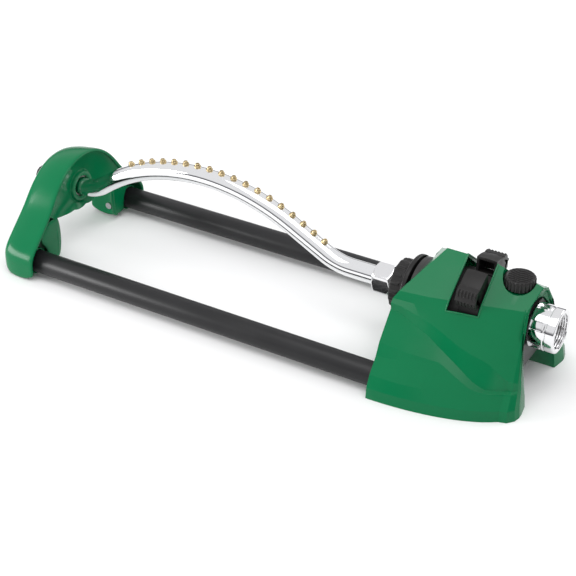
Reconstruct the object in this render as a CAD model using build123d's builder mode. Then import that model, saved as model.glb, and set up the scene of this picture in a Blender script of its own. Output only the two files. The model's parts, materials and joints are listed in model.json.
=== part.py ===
"""Oscillating lawn sprinkler: a curved spray tube that swings between an end stand and a drive housing."""
from math import acos, atan2, cos, degrees, pi, radians, sin, tan
import os

from build123d import *

os.makedirs("parts", exist_ok=True)

# Driving dimensions, in millimetres. X runs along the rails towards the hose, Z is up, and the
# origin lies on the ground midway along the sprinkler.
axis_z = 53.2                    # height of the swing axis
wall = 2.4                       # moulded shell thickness
rail_radius = 9.5
rail_wall = 1.2
rail_y = 63.75
rail_z = 12.0
rail_start = -208.0
rail_end = 152.0
tube_radius = 7.5
tube_wall = 1.0
tube_start = -194.5
tube_end = 104.0
nozzle_count = 18
first_nozzle = 65.5              # distance along the tube from its stand end
nozzle_pitch = 10.8
stand_front = -188.0
stand_back = -221.0
housing_front = 122.0
front_eave = (125.0, 71.0)       # the roof's front edge leans back from here
front_peak = (145.0, 95.0)       # to here
housing_back = 228.5
case_front = 125.3
case_end = 193.0
case_radius = 25.5
cavity_radius = 23.5
ring_front = 158.0
ring_end = 185.0
ring_radius = 27.4
running_gap = 0.05               # radial clearance where one piece turns in another
knob_x = 203.0
swivel_start = 217.0
swivel_end = 238.0

swing_centre = (0, axis_z)


def across(x):
    """The plane that crosses the sprinkler at x, seen from the hose end: sideways is Y, up is Z."""
    return Plane.YZ.offset(x)


def at_axis(x):
    """The same crossing plane, centred on the swing axis."""
    return Plane(origin=(x, 0, axis_z), x_dir=(0, 1, 0), z_dir=(1, 0, 0))


def save(builder, name):
    """Label a finished piece and write it."""
    builder.part.label = name
    export_step(builder.part, f"parts/{name}.step")


# ---------------------------------------------------------------- rails
rail_length = rail_end - rail_start
rail_screw_x = (-200.0, 144.0)
rail_screw_radius = 1.5
rail_screw_tip = 59.0             # distance of the screw's point from the middle plane
screw_hole_start = 50.0
socket_wall = 2.2                # plastic around a rail where the mouldings grip it
for name, side in (("left_rail", 1), ("right_rail", -1)):
    with BuildPart() as rail:
        with BuildSketch(across(rail_start)):
            with Locations((side * rail_y, rail_z)):
                Circle(rail_radius)
                Circle(rail_radius - rail_wall, mode=Mode.SUBTRACT)
        extrude(amount=rail_length)
        with BuildSketch(Plane.XZ.offset(-side * screw_hole_start)):
            with Locations((rail_screw_x[0], rail_z), (rail_screw_x[1], rail_z)):
                Circle(rail_screw_radius)
        extrude(amount=-side * (rail_screw_tip - screw_hole_start), mode=Mode.SUBTRACT)
    save(rail, name)

# Plugs close both ends of each rail and give its screw something to bite.
plug_length = 14.0
with BuildPart() as rail_plugs:
    for x in (rail_start, rail_end - plug_length):
        with BuildSketch(across(x)):
            with Locations((rail_y, rail_z), (-rail_y, rail_z)):
                Circle(rail_radius - rail_wall)
        extrude(amount=plug_length)
    for side in (1, -1):
        with BuildSketch(Plane.XZ.offset(-side * screw_hole_start)):
            with Locations((rail_screw_x[0], rail_z), (rail_screw_x[1], rail_z)):
                Circle(rail_screw_radius)
        extrude(amount=-side * (rail_screw_tip - screw_hole_start), mode=Mode.SUBTRACT)
save(rail_plugs, "rail_plugs")

# Each screw goes outwards through the sleeve and the rail wall into its plug.
rail_screw_heads = (43.0, 50.0)
rail_head_radius = 3.0
rail_head_height = 2.0
with BuildPart() as rail_screws:
    for x, head_y in zip(rail_screw_x, rail_screw_heads):
        for side in (1, -1):
            with BuildSketch(Plane.XZ.offset(-side * (head_y - rail_head_height))):
                with Locations((x, rail_z)):
                    Circle(rail_head_radius)
            extrude(amount=-side * rail_head_height)
            with BuildSketch(Plane.XZ.offset(-side * head_y)):
                with Locations((x, rail_z)):
                    Circle(rail_screw_radius)
            extrude(amount=-side * (rail_screw_tip - head_y))
save(rail_screws, "rail_screws")


# ---------------------------------------------------------------- end stand
def bell(scale, inset=0.0):
    """The bell outline of the end stand: a round hood that flares into two feet."""
    foot_y = 79 * scale - inset
    knee_y = 78 * scale - inset
    knee_z = 21 * scale
    shoulder_y = 47.5 * scale - inset * 0.75
    shoulder_z = 51.5 * scale - inset * 0.6
    with BuildLine() as outline:
        Polyline((-shoulder_y, shoulder_z), (-knee_y, knee_z), (-foot_y, 0), (foot_y, 0),
                 (knee_y, knee_z), (shoulder_y, shoulder_z))
        ThreePointArc((shoulder_y, shoulder_z), (0, 84.5 * scale - inset), (-shoulder_y, shoulder_z))
    make_face(outline.edges())


leg_inner_y = 43.0
leg_top_z = 46.0
leg_front = -192.0
leg_back = -214.0
leg_width = 40.0
arch_spring_z = 30.0
bearing_hole = 6.5
with BuildPart() as stand_form:
    for x, scale in ((stand_front, 1.0), (-206, 0.985), (stand_back, 0.9)):
        with BuildSketch(across(x)):
            bell(scale)
    loft(ruled=True)

with BuildPart() as stand_legs:
    for side in (1, -1):
        with BuildSketch(across(leg_back)):
            with Locations((side * (leg_inner_y + leg_width / 2), leg_top_z / 2)):
                Rectangle(leg_width, leg_top_z)
        extrude(amount=leg_front - leg_back)
        with BuildSketch(across(leg_back + wall)):
            with Locations((side * (leg_inner_y + leg_width / 2), leg_top_z / 2 - wall)):
                Rectangle(leg_width - 2 * wall, leg_top_z)
        extrude(amount=leg_front - leg_back - 2 * wall, mode=Mode.SUBTRACT)
        with BuildSketch(across(leg_back)):
            with Locations((side * rail_y, rail_z)):
                Circle(rail_radius + socket_wall)
        extrude(amount=leg_front - leg_back)
    add(stand_form.part, mode=Mode.INTERSECT)

with BuildPart() as end_stand:
    add(stand_form.part)
    for x, scale in ((stand_front + 0.5, 1.0), (-206, 0.985), (stand_back + wall, 0.905)):
        with BuildSketch(across(x)):
            bell(scale, wall)
    loft(ruled=True, mode=Mode.SUBTRACT)
    with BuildSketch(across(stand_back - 1)):
        with BuildLine():
            Polyline((-leg_inner_y, arch_spring_z), (-leg_inner_y, -1), (leg_inner_y, -1),
                     (leg_inner_y, arch_spring_z))
            ThreePointArc((leg_inner_y, arch_spring_z), (0, leg_top_z + 2), (-leg_inner_y, arch_spring_z))
        make_face()
    extrude(amount=stand_front - stand_back + 2, mode=Mode.SUBTRACT)
    add(stand_legs.part)
    with BuildSketch(across(rail_start - 0.5)):
        with Locations((rail_y, rail_z), (-rail_y, rail_z)):
            Circle(rail_radius)
    extrude(amount=stand_front - rail_start + 1, mode=Mode.SUBTRACT)
    with BuildSketch(at_axis(stand_back - 1)):
        Circle(bearing_hole)
    extrude(amount=8, mode=Mode.SUBTRACT)
    for side in (1, -1):
        with BuildSketch(Plane.XZ.offset(-side * (leg_inner_y - 1))):
            with Locations((rail_screw_x[0], rail_z)):
                Circle(rail_screw_radius)
        extrude(amount=-side * 14, mode=Mode.SUBTRACT)
save(end_stand, "end_stand")

# A cross bracket between the legs carries the far bearing of the spray tube.
bracket_back = -208.0
bracket_front = -198.0
bracket_z = 45.0
bracket_height = 13.0
bracket_boss = 12.5
recess_y = 27.0
bush_outer = 8.0
bush_flange = 10.0
journal_radius = 5.0
with BuildPart() as bearing_bracket:
    with BuildSketch(across(bracket_back)):
        with Locations((0, bracket_z)):
            Rectangle(2 * leg_inner_y, bracket_height)
        with Locations(swing_centre):
            Circle(bracket_boss)
            Circle(bush_outer, mode=Mode.SUBTRACT)
    extrude(amount=bracket_front - bracket_back)
    with BuildSketch(across(bracket_front - 3)):
        with Locations((recess_y, bracket_z), (-recess_y, bracket_z)):
            Rectangle(24, bracket_height - 5)
    extrude(amount=4, mode=Mode.SUBTRACT)
save(bearing_bracket, "bearing_bracket")

with BuildPart() as bearing_bush:
    with BuildSketch(at_axis(bracket_back - 1)):
        Circle(bush_outer)
    extrude(amount=bracket_front - bracket_back + 1)
    with BuildSketch(at_axis(bracket_front)):
        Circle(bush_flange)
    extrude(amount=1.6)
    with BuildSketch(at_axis(bracket_back - 1)):
        Circle(journal_radius + running_gap)
    extrude(amount=20, mode=Mode.SUBTRACT)
save(bearing_bush, "bearing_bush")

# ---------------------------------------------------------------- spray tube and its fittings
rise_angle = 36.5
fall_angle = 28.2
rise_radius = 34.5
crest_radius = 167.0
fall_radius = 50.0
rise_straight = 5.0
bend_start = -190.5
rise_height = (rise_radius + crest_radius) * (1 - cos(radians(rise_angle)))
rise_height += rise_straight * sin(radians(rise_angle))
fall_height = (fall_radius + crest_radius) * (1 - cos(radians(fall_angle)))
fall_straight = (rise_height - fall_height) / sin(radians(fall_angle))
with BuildLine(Plane.XZ) as tube_line:
    stub = Line((tube_start, axis_z), (bend_start, axis_z))
    rise = JernArc(stub @ 1, stub % 1, rise_radius, rise_angle)
    climb = PolarLine(rise @ 1, rise_straight, direction=rise % 1)
    crest = JernArc(climb @ 1, climb % 1, crest_radius, -(rise_angle + fall_angle))
    descent = PolarLine(crest @ 1, fall_straight, direction=crest % 1)
    level = JernArc(descent @ 1, descent % 1, fall_radius, fall_angle)
    Line(level @ 1, (tube_end, axis_z))
tube_path = tube_line.wire()

nozzle_planes = []
for index in range(nozzle_count):
    along = first_nozzle + index * nozzle_pitch
    point = tube_path.position_at(along, position_mode=PositionMode.LENGTH)
    heading = tube_path.tangent_at(along, position_mode=PositionMode.LENGTH)
    outward = Vector(-heading.Z, 0, heading.X)
    nozzle_planes.append(Plane(origin=point, x_dir=heading, z_dir=outward))

nozzle_stem = 1.25
nozzle_flange = 2.3
flange_height = 0.9
nozzle_tip = 1.6
tip_height = 1.9
jet_bore = 0.5
with BuildPart() as spray_tube:
    with BuildSketch(at_axis(tube_start)):
        Circle(tube_radius)
        Circle(tube_radius - tube_wall, mode=Mode.SUBTRACT)
    sweep(path=tube_path)
    for plane in nozzle_planes:
        with BuildSketch(plane):
            Circle(nozzle_stem)
        extrude(amount=tube_radius + 1, mode=Mode.SUBTRACT)
save(spray_tube, "spray_tube")

# Turned brass jets pressed into the tube: a stem, a flange that sits on the tube and a domed tip.
with BuildPart() as brass_nozzles:
    for plane in nozzle_planes:
        with BuildSketch(plane.offset(tube_radius - tube_wall - 0.4)):
            Circle(nozzle_stem)
        extrude(amount=tube_wall + 0.5)
        with BuildSketch(plane.offset(tube_radius)):
            Circle(nozzle_flange)
        extrude(amount=flange_height)
        with BuildSketch(plane.offset(tube_radius + flange_height)):
            Circle(nozzle_tip)
        extrude(amount=tip_height, taper=14)
        with BuildSketch(plane.offset(tube_radius - tube_wall - 1)):
            Circle(jet_bore)
        extrude(amount=6, mode=Mode.SUBTRACT)
save(brass_nozzles, "brass_nozzles")

plug_spigot = tube_radius - tube_wall
knob_front = -224.5
knob_back = -238.0
end_knob_radius = 7.5
collar_height = 0.9
seal_start = tube_start + 1.2
seal_width = 1.6
seal_inner = plug_spigot - 1.2
pin_radius = 0.6
pin_front = knob_front - 8
pin_length = 22.0
with BuildPart() as end_plug:
    with BuildSketch(at_axis(tube_start)):
        Circle(plug_spigot)
    extrude(amount=4)
    with BuildSketch(at_axis(seal_start)):
        Circle(plug_spigot + 0.5)
        Circle(seal_inner, mode=Mode.SUBTRACT)
    extrude(amount=seal_width, mode=Mode.SUBTRACT)
    with BuildSketch(at_axis(tube_start - collar_height)):
        Circle(tube_radius)
    extrude(amount=collar_height)
    with BuildSketch(at_axis(knob_front)):
        Circle(journal_radius)
    extrude(amount=tube_start - collar_height - knob_front)
    with BuildSketch(at_axis(knob_back)):
        Circle(end_knob_radius)
        with PolarLocations(end_knob_radius + 0.4, 12):
            Circle(0.9, mode=Mode.SUBTRACT)
    extrude(amount=knob_front - knob_back)
    with BuildSketch(at_axis(pin_front)):
        Circle(pin_radius)
    extrude(amount=tube_start + 5 - pin_front, mode=Mode.SUBTRACT)
save(end_plug, "end_plug")

with BuildPart() as end_plug_seal:
    with BuildSketch(at_axis(seal_start)):
        Circle(plug_spigot)
        Circle(seal_inner, mode=Mode.SUBTRACT)
    extrude(amount=seal_width)
save(end_plug_seal, "end_plug_seal")

with BuildPart() as cleaning_pin:
    with BuildSketch(at_axis(pin_front)):
        Circle(pin_radius)
    extrude(amount=pin_length)
save(cleaning_pin, "cleaning_pin")

# The hex nut squeezes a ring onto the tube and draws it into the hub's threaded spigot.
nut_start = 89.0
nut_end = 105.0
spigot_radius = 10.2
ring_seat = 94.5
ring_start = nut_start + 2.5
nut_corner = 13.5
with BuildPart() as coupling_nut:
    with BuildSketch(at_axis(nut_start)):
        RegularPolygon(nut_corner, 6)
    extrude(amount=nut_end - nut_start)
    with BuildSketch(at_axis(nut_start)):
        Circle(nut_corner)
        Circle(nut_corner - 1.5, mode=Mode.SUBTRACT)
    extrude(amount=1.4, mode=Mode.SUBTRACT)
    with BuildSketch(at_axis(nut_start - 1)):
        Circle(tube_radius)
    extrude(amount=5, mode=Mode.SUBTRACT)
    with BuildSketch(at_axis(ring_start)):
        Circle(spigot_radius)
    extrude(amount=20, mode=Mode.SUBTRACT)
save(coupling_nut, "coupling_nut")

with BuildPart() as compression_ring:
    with BuildSketch(at_axis(ring_start)):
        Circle(spigot_radius)
        Circle(tube_radius, mode=Mode.SUBTRACT)
    extrude(amount=ring_seat - ring_start)
save(compression_ring, "compression_ring")

# The hub is hollow: water leaves the gear case through it. An arm on its flange carries the trip
# finger, which reaches back under the case to the range tabs.
hub_front = 107.0
hub_collar = 20.0
flange_front = 119.0
flange_back = 123.0
flange_radius = 26.0
hub_journal = 6.0
hub_bore = 3.8
journal_end = 137.5
finger_inner = 27.9
finger_outer = 30.5
finger_end = 178.0
finger_width = 5.0
with BuildPart() as output_hub:
    with BuildSketch(at_axis(ring_seat)):
        Circle(spigot_radius)
    extrude(amount=hub_front - ring_seat)
    with BuildSketch(at_axis(hub_front)):
        Circle(hub_collar)
    extrude(amount=flange_front - hub_front)
    with BuildSketch(at_axis(flange_front)):
        Circle(flange_radius)
    extrude(amount=flange_back - flange_front)
    with BuildSketch(at_axis(flange_front)):
        with Locations((0, -(hub_collar + finger_outer) / 2)):
            Rectangle(finger_width, finger_outer - hub_collar)
    extrude(amount=flange_back - flange_front)
    with BuildSketch(at_axis(flange_back)):
        Circle(hub_journal)
    extrude(amount=journal_end - flange_back)
    with BuildSketch(at_axis(flange_back - 3)):
        with Locations((0, -(finger_inner + finger_outer) / 2)):
            Rectangle(finger_width, finger_outer - finger_inner)
    extrude(amount=finger_end - flange_back + 3)
    with BuildSketch(at_axis(ring_seat - 1)):
        Circle(tube_radius)
    extrude(amount=tube_end - ring_seat + 1, mode=Mode.SUBTRACT)
    with BuildSketch(at_axis(ring_seat)):
        Circle(hub_bore)
    extrude(amount=50, mode=Mode.SUBTRACT)
save(output_hub, "output_hub")

# ---------------------------------------------------------------- gear train
module = 0.6
wheel_addendum = 0.39
pinion_addendum = 0.6
tooth_slack = 0.06
pressure_angle = radians(20)
hub_teeth = 30
wheel_teeth = 28
pinion_teeth = 10
axle_radius = 1.0
hub_distance = module * (hub_teeth + pinion_teeth) / 2
wheel_distance = module * (wheel_teeth + pinion_teeth) / 2
# The first axle stands one wheel's reach from both the swing axis and the second axle.
axle_spread = degrees(acos(hub_distance / (2 * wheel_distance)))
first_angle = 90 - axle_spread
second_axle = (0, hub_distance)
first_axle = (wheel_distance * cos(radians(first_angle)), wheel_distance * sin(radians(first_angle)))


def gear_face(teeth, addendum, dedendum, tooth_at):
    """A spur gear's outline with involute flanks and one tooth centred on the angle tooth_at."""
    pitch_radius = module * teeth / 2
    base_radius = pitch_radius * cos(pressure_angle)
    tip_radius = pitch_radius + addendum
    root_radius = pitch_radius - dedendum
    half_tooth = (pi * module / 2 - tooth_slack) / 2 / pitch_radius
    involute_pitch = tan(pressure_angle) - pressure_angle

    def half_angle(radius):
        roll = acos(min(1.0, base_radius / max(radius, base_radius)))
        return half_tooth + involute_pitch - (tan(roll) - roll)

    start = max(base_radius, root_radius)
    heights = [start + (tip_radius - start) * step / 3 for step in range(4)]
    points = []
    for index in range(teeth):
        centre = radians(tooth_at) + 2 * pi * index / teeth
        flank = [(root_radius, half_angle(start))] if root_radius < base_radius else []
        flank += [(radius, half_angle(radius)) for radius in heights]
        for radius, angle in flank:
            points.append((radius * cos(centre - angle), radius * sin(centre - angle)))
        for radius, angle in reversed(flank):
            points.append((radius * cos(centre + angle), radius * sin(centre + angle)))
    with BuildLine() as outline:
        Polyline(*points, close=True)
    make_face(outline.edges())


wheel_dedendum = pinion_addendum + 0.15
pinion_dedendum = wheel_addendum + 0.15
pinion_half_pitch = 180 / pinion_teeth
hub_gear_start = 131.0
hub_gear_width = 6.0
second_start = 130.6
second_wheel_start = 139.0
first_start = 138.6
first_wheel_start = 144.0
wheel_width = 3.5
rotor_shaft_start = 143.6
axle_start = 126.5
to_first = degrees(atan2(first_axle[1] - second_axle[1], first_axle[0] - second_axle[0]))
to_turbine = first_angle + 180


def gear_plane(x, axle):
    """A crossing plane centred on a gear's own axle."""
    return Plane(origin=(x, axle[0], axis_z + axle[1]), x_dir=(0, 1, 0), z_dir=(1, 0, 0))


with BuildPart() as hub_gear:
    with BuildSketch(at_axis(hub_gear_start)):
        gear_face(hub_teeth, wheel_addendum, wheel_dedendum, 90)
        Circle(hub_journal, mode=Mode.SUBTRACT)
    extrude(amount=hub_gear_width)
save(hub_gear, "hub_gear")

with BuildPart() as second_gear:
    with BuildSketch(gear_plane(second_start, second_axle)):
        gear_face(pinion_teeth, pinion_addendum, pinion_dedendum, 270 + pinion_half_pitch)
    extrude(amount=second_wheel_start - second_start)
    with BuildSketch(gear_plane(second_wheel_start, second_axle)):
        gear_face(wheel_teeth, wheel_addendum, wheel_dedendum, to_first)
    extrude(amount=wheel_width)
    with BuildSketch(gear_plane(second_start - 1, second_axle)):
        Circle(axle_radius + running_gap)
    extrude(amount=20, mode=Mode.SUBTRACT)
save(second_gear, "second_gear")

with BuildPart() as first_gear:
    with BuildSketch(gear_plane(first_start, first_axle)):
        gear_face(pinion_teeth, pinion_addendum, pinion_dedendum, to_first + 180 + pinion_half_pitch)
    extrude(amount=first_wheel_start - first_start)
    with BuildSketch(gear_plane(first_wheel_start, first_axle)):
        gear_face(wheel_teeth, wheel_addendum, wheel_dedendum, to_turbine)
    extrude(amount=wheel_width)
    with BuildSketch(gear_plane(first_start - 1, first_axle)):
        Circle(axle_radius + running_gap)
    extrude(amount=20, mode=Mode.SUBTRACT)
save(first_gear, "first_gear")

# The turbine runs either way, driven by whichever jet the diverter leaves open.
plate_front = 150.0
plate_back = 152.0
nozzle_front = 168.0
nozzle_back = 171.0
rotor_front = 155.0
rotor_width = 9.0
rotor_hub = 4.5
blade_length = 11.0
blade_count = 12
with BuildPart() as turbine:
    with BuildSketch(at_axis(rotor_shaft_start)):
        gear_face(pinion_teeth, pinion_addendum, pinion_dedendum, to_turbine + 180 + pinion_half_pitch)
    extrude(amount=5)
    with BuildSketch(at_axis(rotor_shaft_start)):
        Circle(axle_radius)
    extrude(amount=nozzle_back - 1 - rotor_shaft_start)
    with BuildSketch(at_axis(rotor_front)):
        Circle(rotor_hub)
        with PolarLocations(3.5 + blade_length / 2, blade_count):
            Rectangle(blade_length, 1)
    extrude(amount=rotor_width)
save(turbine, "turbine")

with BuildPart() as gear_axles:
    for axle in (second_axle, first_axle):
        with BuildSketch(gear_plane(axle_start, axle)):
            Circle(axle_radius)
        extrude(amount=plate_back - 0.5 - axle_start)
save(gear_axles, "gear_axles")

# ---------------------------------------------------------------- sealed gear case
cover_back = 128.5
gasket_back = 129.1
seal_front = 126.0
seal_radius = 8.5
shaft_seal_width = 1.6
guide_boss = 8.2
with BuildPart() as case_cover:
    with BuildSketch(at_axis(case_front)):
        Circle(case_radius)
    extrude(amount=cover_back - case_front)
    with BuildSketch(at_axis(cover_back)):
        Circle(guide_boss)
    extrude(amount=1.8)
    with BuildSketch(at_axis(case_front - 1)):
        Circle(hub_journal + running_gap)
    extrude(amount=10, mode=Mode.SUBTRACT)
    with BuildSketch(at_axis(case_front - 1)):
        Circle(seal_radius)
    extrude(amount=seal_front + shaft_seal_width - case_front + 1, mode=Mode.SUBTRACT)
    for axle in (second_axle, first_axle):
        with BuildSketch(gear_plane(axle_start, axle)):
            Circle(axle_radius)
        extrude(amount=5, mode=Mode.SUBTRACT)
save(case_cover, "case_cover")

with BuildPart() as shaft_seal:
    with BuildSketch(at_axis(seal_front)):
        Circle(seal_radius)
        Circle(hub_journal + running_gap, mode=Mode.SUBTRACT)
    extrude(amount=shaft_seal_width)
save(shaft_seal, "shaft_seal")

with BuildPart() as case_gasket:
    with BuildSketch(at_axis(cover_back)):
        Circle(case_radius)
        Circle(cavity_radius, mode=Mode.SUBTRACT)
    extrude(amount=gasket_back - cover_back)
save(case_gasket, "case_gasket")

rear_wall = 190.0
ear_front = 185.6
ear_back = 188.0
screw_y = 29.0
ear_drop = 4.7
ear_height = 9.0
spindle_drop = 15.0
spindle_radius = 1.5
post_y = -14.0
post_drop = 17.0
post_end = 201.2
post_radius = 1.2
machine_screw = 1.5              # radius of the small screws' shanks
ear_y = 28.3
outlet_bore = 6.5
with BuildPart() as gear_case:
    with BuildSketch(at_axis(gasket_back)):
        Circle(case_radius)
    extrude(amount=case_end - gasket_back)
    with BuildSketch(at_axis(gasket_back - 1)):
        Circle(cavity_radius)
    extrude(amount=rear_wall - gasket_back + 1, mode=Mode.SUBTRACT)
    for side in (1, -1):
        with BuildSketch(at_axis(ear_front)):
            with Locations((side * ear_y, -ear_drop)):
                Rectangle(8, ear_height)
        extrude(amount=ear_back - ear_front)
    with BuildSketch(at_axis(ear_front - 1)):
        with Locations((screw_y, -ear_drop), (-screw_y, -ear_drop)):
            Circle(machine_screw)
    extrude(amount=4, mode=Mode.SUBTRACT)
    with BuildSketch(at_axis(rear_wall - 1)):
        Circle(outlet_bore)
    extrude(amount=6, mode=Mode.SUBTRACT)
    with BuildSketch(at_axis(rear_wall - 1)):
        with Locations((0, -spindle_drop)):
            Circle(spindle_radius + running_gap)
    extrude(amount=6, mode=Mode.SUBTRACT)
    with BuildSketch(at_axis(case_end - 1)):
        with Locations((post_y, -post_drop)):
            Circle(post_radius)
    extrude(amount=post_end - case_end + 1)
save(gear_case, "gear_case")

with BuildPart() as gear_plate:
    with BuildSketch(at_axis(plate_front)):
        Circle(cavity_radius)
        Circle(axle_radius + running_gap, mode=Mode.SUBTRACT)
        with PolarLocations(18, 3, start_angle=180):
            Circle(3, mode=Mode.SUBTRACT)
        with Locations(second_axle, first_axle):
            Circle(axle_radius, mode=Mode.SUBTRACT)
    extrude(amount=plate_back - plate_front)
save(gear_plate, "gear_plate")

jet_y = 5.5
jet_drop = 5.0
drive_jet = 1.8
with BuildPart() as nozzle_plate:
    with BuildSketch(at_axis(nozzle_front)):
        Circle(cavity_radius)
        Circle(axle_radius + running_gap, mode=Mode.SUBTRACT)
        with Locations((jet_y, -jet_drop), (-jet_y, -jet_drop)):
            Circle(drive_jet, mode=Mode.SUBTRACT)
    extrude(amount=nozzle_back - nozzle_front)
save(nozzle_plate, "nozzle_plate")

# The diverter swings across the two jets and shuts one of them.
crank_front = 194.5
crank_back = 197.0
flap_front = 172.0
flap_thickness = 2.5
flap_reach = 10.0
flap_radius = 3.2
with BuildPart() as diverter_flap:
    with BuildSketch(at_axis(flap_front)):
        with Locations((0, -spindle_drop)):
            Circle(3)
        with Locations((0, -spindle_drop + flap_reach / 2)):
            Rectangle(3, flap_reach)
        with Locations((0, -spindle_drop + flap_reach)):
            Circle(flap_radius)
    extrude(amount=flap_thickness)
    with BuildSketch(at_axis(flap_front)):
        with Locations((0, -spindle_drop)):
            Circle(spindle_radius)
    extrude(amount=crank_back - flap_front)
save(diverter_flap, "diverter_flap")

trip_pin_reach = 21.0
trip_pin_radius = 1.2
fork_gap = 3.1                   # the trip pin slides in this slot
crank_radius = 3.4
fork_end = 9.2
with BuildPart() as diverter_crank:
    with BuildSketch(at_axis(crank_front)):
        with Locations((0, -spindle_drop)):
            Circle(crank_radius)
        with Locations((0, -spindle_drop - fork_end / 2)):
            Rectangle(2 * crank_radius, fork_end)
        with Locations((0, -spindle_drop)):
            Circle(spindle_radius, mode=Mode.SUBTRACT)
        with Locations((0, -spindle_drop - 8)):
            Rectangle(fork_gap, 8, mode=Mode.SUBTRACT)
    extrude(amount=crank_back - crank_front)
save(diverter_crank, "diverter_crank")

# The trip ring rocks on the case. Its arm drives the diverter crank.
arm_front = 198.5
arm_back = 200.5
arm_width = 5.0
band_drop = 27.0
band_thickness = 2.2
with BuildPart() as trip_ring:
    with BuildSketch(at_axis(ring_front)):
        Circle(ring_radius)
        Circle(case_radius + running_gap, mode=Mode.SUBTRACT)
    extrude(amount=ring_end - ring_front)
    with BuildSketch(at_axis(ring_end - 4)):
        with Locations((0, -band_drop)):
            Rectangle(arm_width, band_thickness)
    extrude(amount=arm_back - ring_end + 4)
    with BuildSketch(at_axis(ring_end - 5)):
        Circle(case_radius + running_gap)
    extrude(amount=5, mode=Mode.SUBTRACT)
    with BuildSketch(at_axis(arm_front)):
        with Locations((0, -23.8)):
            Rectangle(arm_width, 8.6)
    extrude(amount=arm_back - arm_front)
    with BuildSketch(at_axis(crank_front - 0.5)):
        with Locations((0, -trip_pin_reach)):
            Circle(trip_pin_radius)
    extrude(amount=post_end - crank_front + 0.5)
save(trip_ring, "trip_ring")

# A bowed wire spring snaps the trip ring from one end of its rock to the other.
spring_x = 201.7
spring_bow = (-9.0, axis_z - 26)
wire_radius = 0.45
with BuildPart() as toggle_spring:
    with BuildLine(across(spring_x)) as spring_line:
        ThreePointArc((post_y, axis_z - post_drop), spring_bow, (0, axis_z - trip_pin_reach))
    with BuildSketch(Plane(origin=spring_line.wire() @ 0, z_dir=spring_line.wire() % 0)):
        Circle(wire_radius)
    sweep(path=spring_line.wire())
save(toggle_spring, "toggle_spring")

# ---------------------------------------------------------------- range tabs
tab_front = 167.5
tab_back = 183.5
clip_outer = 29.2
band_inner = 38.6
band_outer = 41.0
thumb_outer = 44.5
band_span = 37.0
lug_start = 45.0
lug_end = 51.0
lug_reach = finger_outer + 0.4
tab_wall = 2.0
thumb_span = 9.0
near_thumb_edge = 56.0
far_thumb_edge = -40.0


def sector(inner, outer, from_angle, to_angle):
    """A ring sector about the swing axis. Angles run from straight up towards the near side."""
    start = radians(90 + from_angle)
    middle = radians(90 + (from_angle + to_angle) / 2)
    end = radians(90 + to_angle)
    with BuildLine() as outline:
        ThreePointArc((outer * cos(start), outer * sin(start)),
                      (outer * cos(middle), outer * sin(middle)),
                      (outer * cos(end), outer * sin(end)))
        Line((outer * cos(end), outer * sin(end)), (inner * cos(end), inner * sin(end)))
        ThreePointArc((inner * cos(end), inner * sin(end)), (inner * cos(middle), inner * sin(middle)),
                      (inner * cos(start), inner * sin(start)))
        Line((inner * cos(start), inner * sin(start)), (outer * cos(start), outer * sin(start)))
    make_face(outline.edges())


def ordered(edge, side, near, far):
    """Angles measured back from a tab's thumb edge, in rising order."""
    return sorted((edge + side * near, edge + side * far))


for name, side, edge in (("near_tab", 1, near_thumb_edge), ("far_tab", -1, far_thumb_edge)):
    with BuildPart() as tab:
        with BuildSketch(at_axis(tab_front)):
            sector(ring_radius + running_gap, clip_outer, *ordered(edge, side, -band_span, lug_end))
            sector(clip_outer - 0.2, lug_reach, *ordered(edge, side, lug_start, lug_end))
        extrude(amount=tab_back - tab_front)
        with BuildSketch(at_axis(tab_front)):
            sector(clip_outer - 0.2, band_outer, *ordered(edge, side, -band_span, 0))
        extrude(amount=tab_back - tab_front)
        with BuildSketch(at_axis(tab_front + tab_wall)):
            sector(clip_outer, band_inner, *ordered(edge, side, 3 - band_span, -8))
        extrude(amount=tab_back - tab_front - 2 * tab_wall, mode=Mode.SUBTRACT)
        with BuildSketch(at_axis(tab_front)):
            sector(band_inner, thumb_outer, *ordered(edge, side, -thumb_span, 0))
        extrude(amount=tab_back - tab_front)
    save(tab, name)

# ---------------------------------------------------------------- housing
# Cross sections of the roofed shell: x, half-widths at the foot, the top of the skirt and the
# shoulder over the rail, then eave half-width and height, and ridge height.
skirt_z = 9.0
shoulder_z = 19.5
housing_sections = (
    (122.0, 78.5, 77.5, 73.0, 36.0, 71.0, 102.0),
    (145.0, 76.7, 75.8, 72.4, 33.0, 71.0, 95.0),
    (176.0, 72.3, 70.5, 66.0, 26.7, 71.5, 95.0),
    (203.0, 64.5, 62.0, 56.5, 22.0, 73.3, 90.0),
    (217.0, 54.0, 51.5, 47.0, 19.5, 74.0, 86.5),
    (housing_back, 43.0, 41.0, 38.0, 18.5, 73.0, 84.0),
)


def roofed(foot_y, skirt_y, shoulder_y, eave_y, eave_z, ridge_z, inset=0.0):
    """One cross section: upright skirt, shoulder, sloping side and a gable roof."""
    foot_y -= inset
    skirt_y -= inset * 1.1
    shoulder_y -= inset * 1.2
    eave_y -= inset * 0.8
    eave_z -= inset * 1.05
    ridge_z -= inset * 1.25
    floor_z = -1.0 if inset else 0.0
    with BuildLine() as outline:
        Polyline((-foot_y, floor_z), (foot_y, floor_z), (skirt_y, skirt_z), (shoulder_y, shoulder_z),
                 (eave_y, eave_z), (0, ridge_z), (-eave_y, eave_z), (-shoulder_y, shoulder_z),
                 (-skirt_y, skirt_z), close=True)
    make_face(outline.edges())


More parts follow.
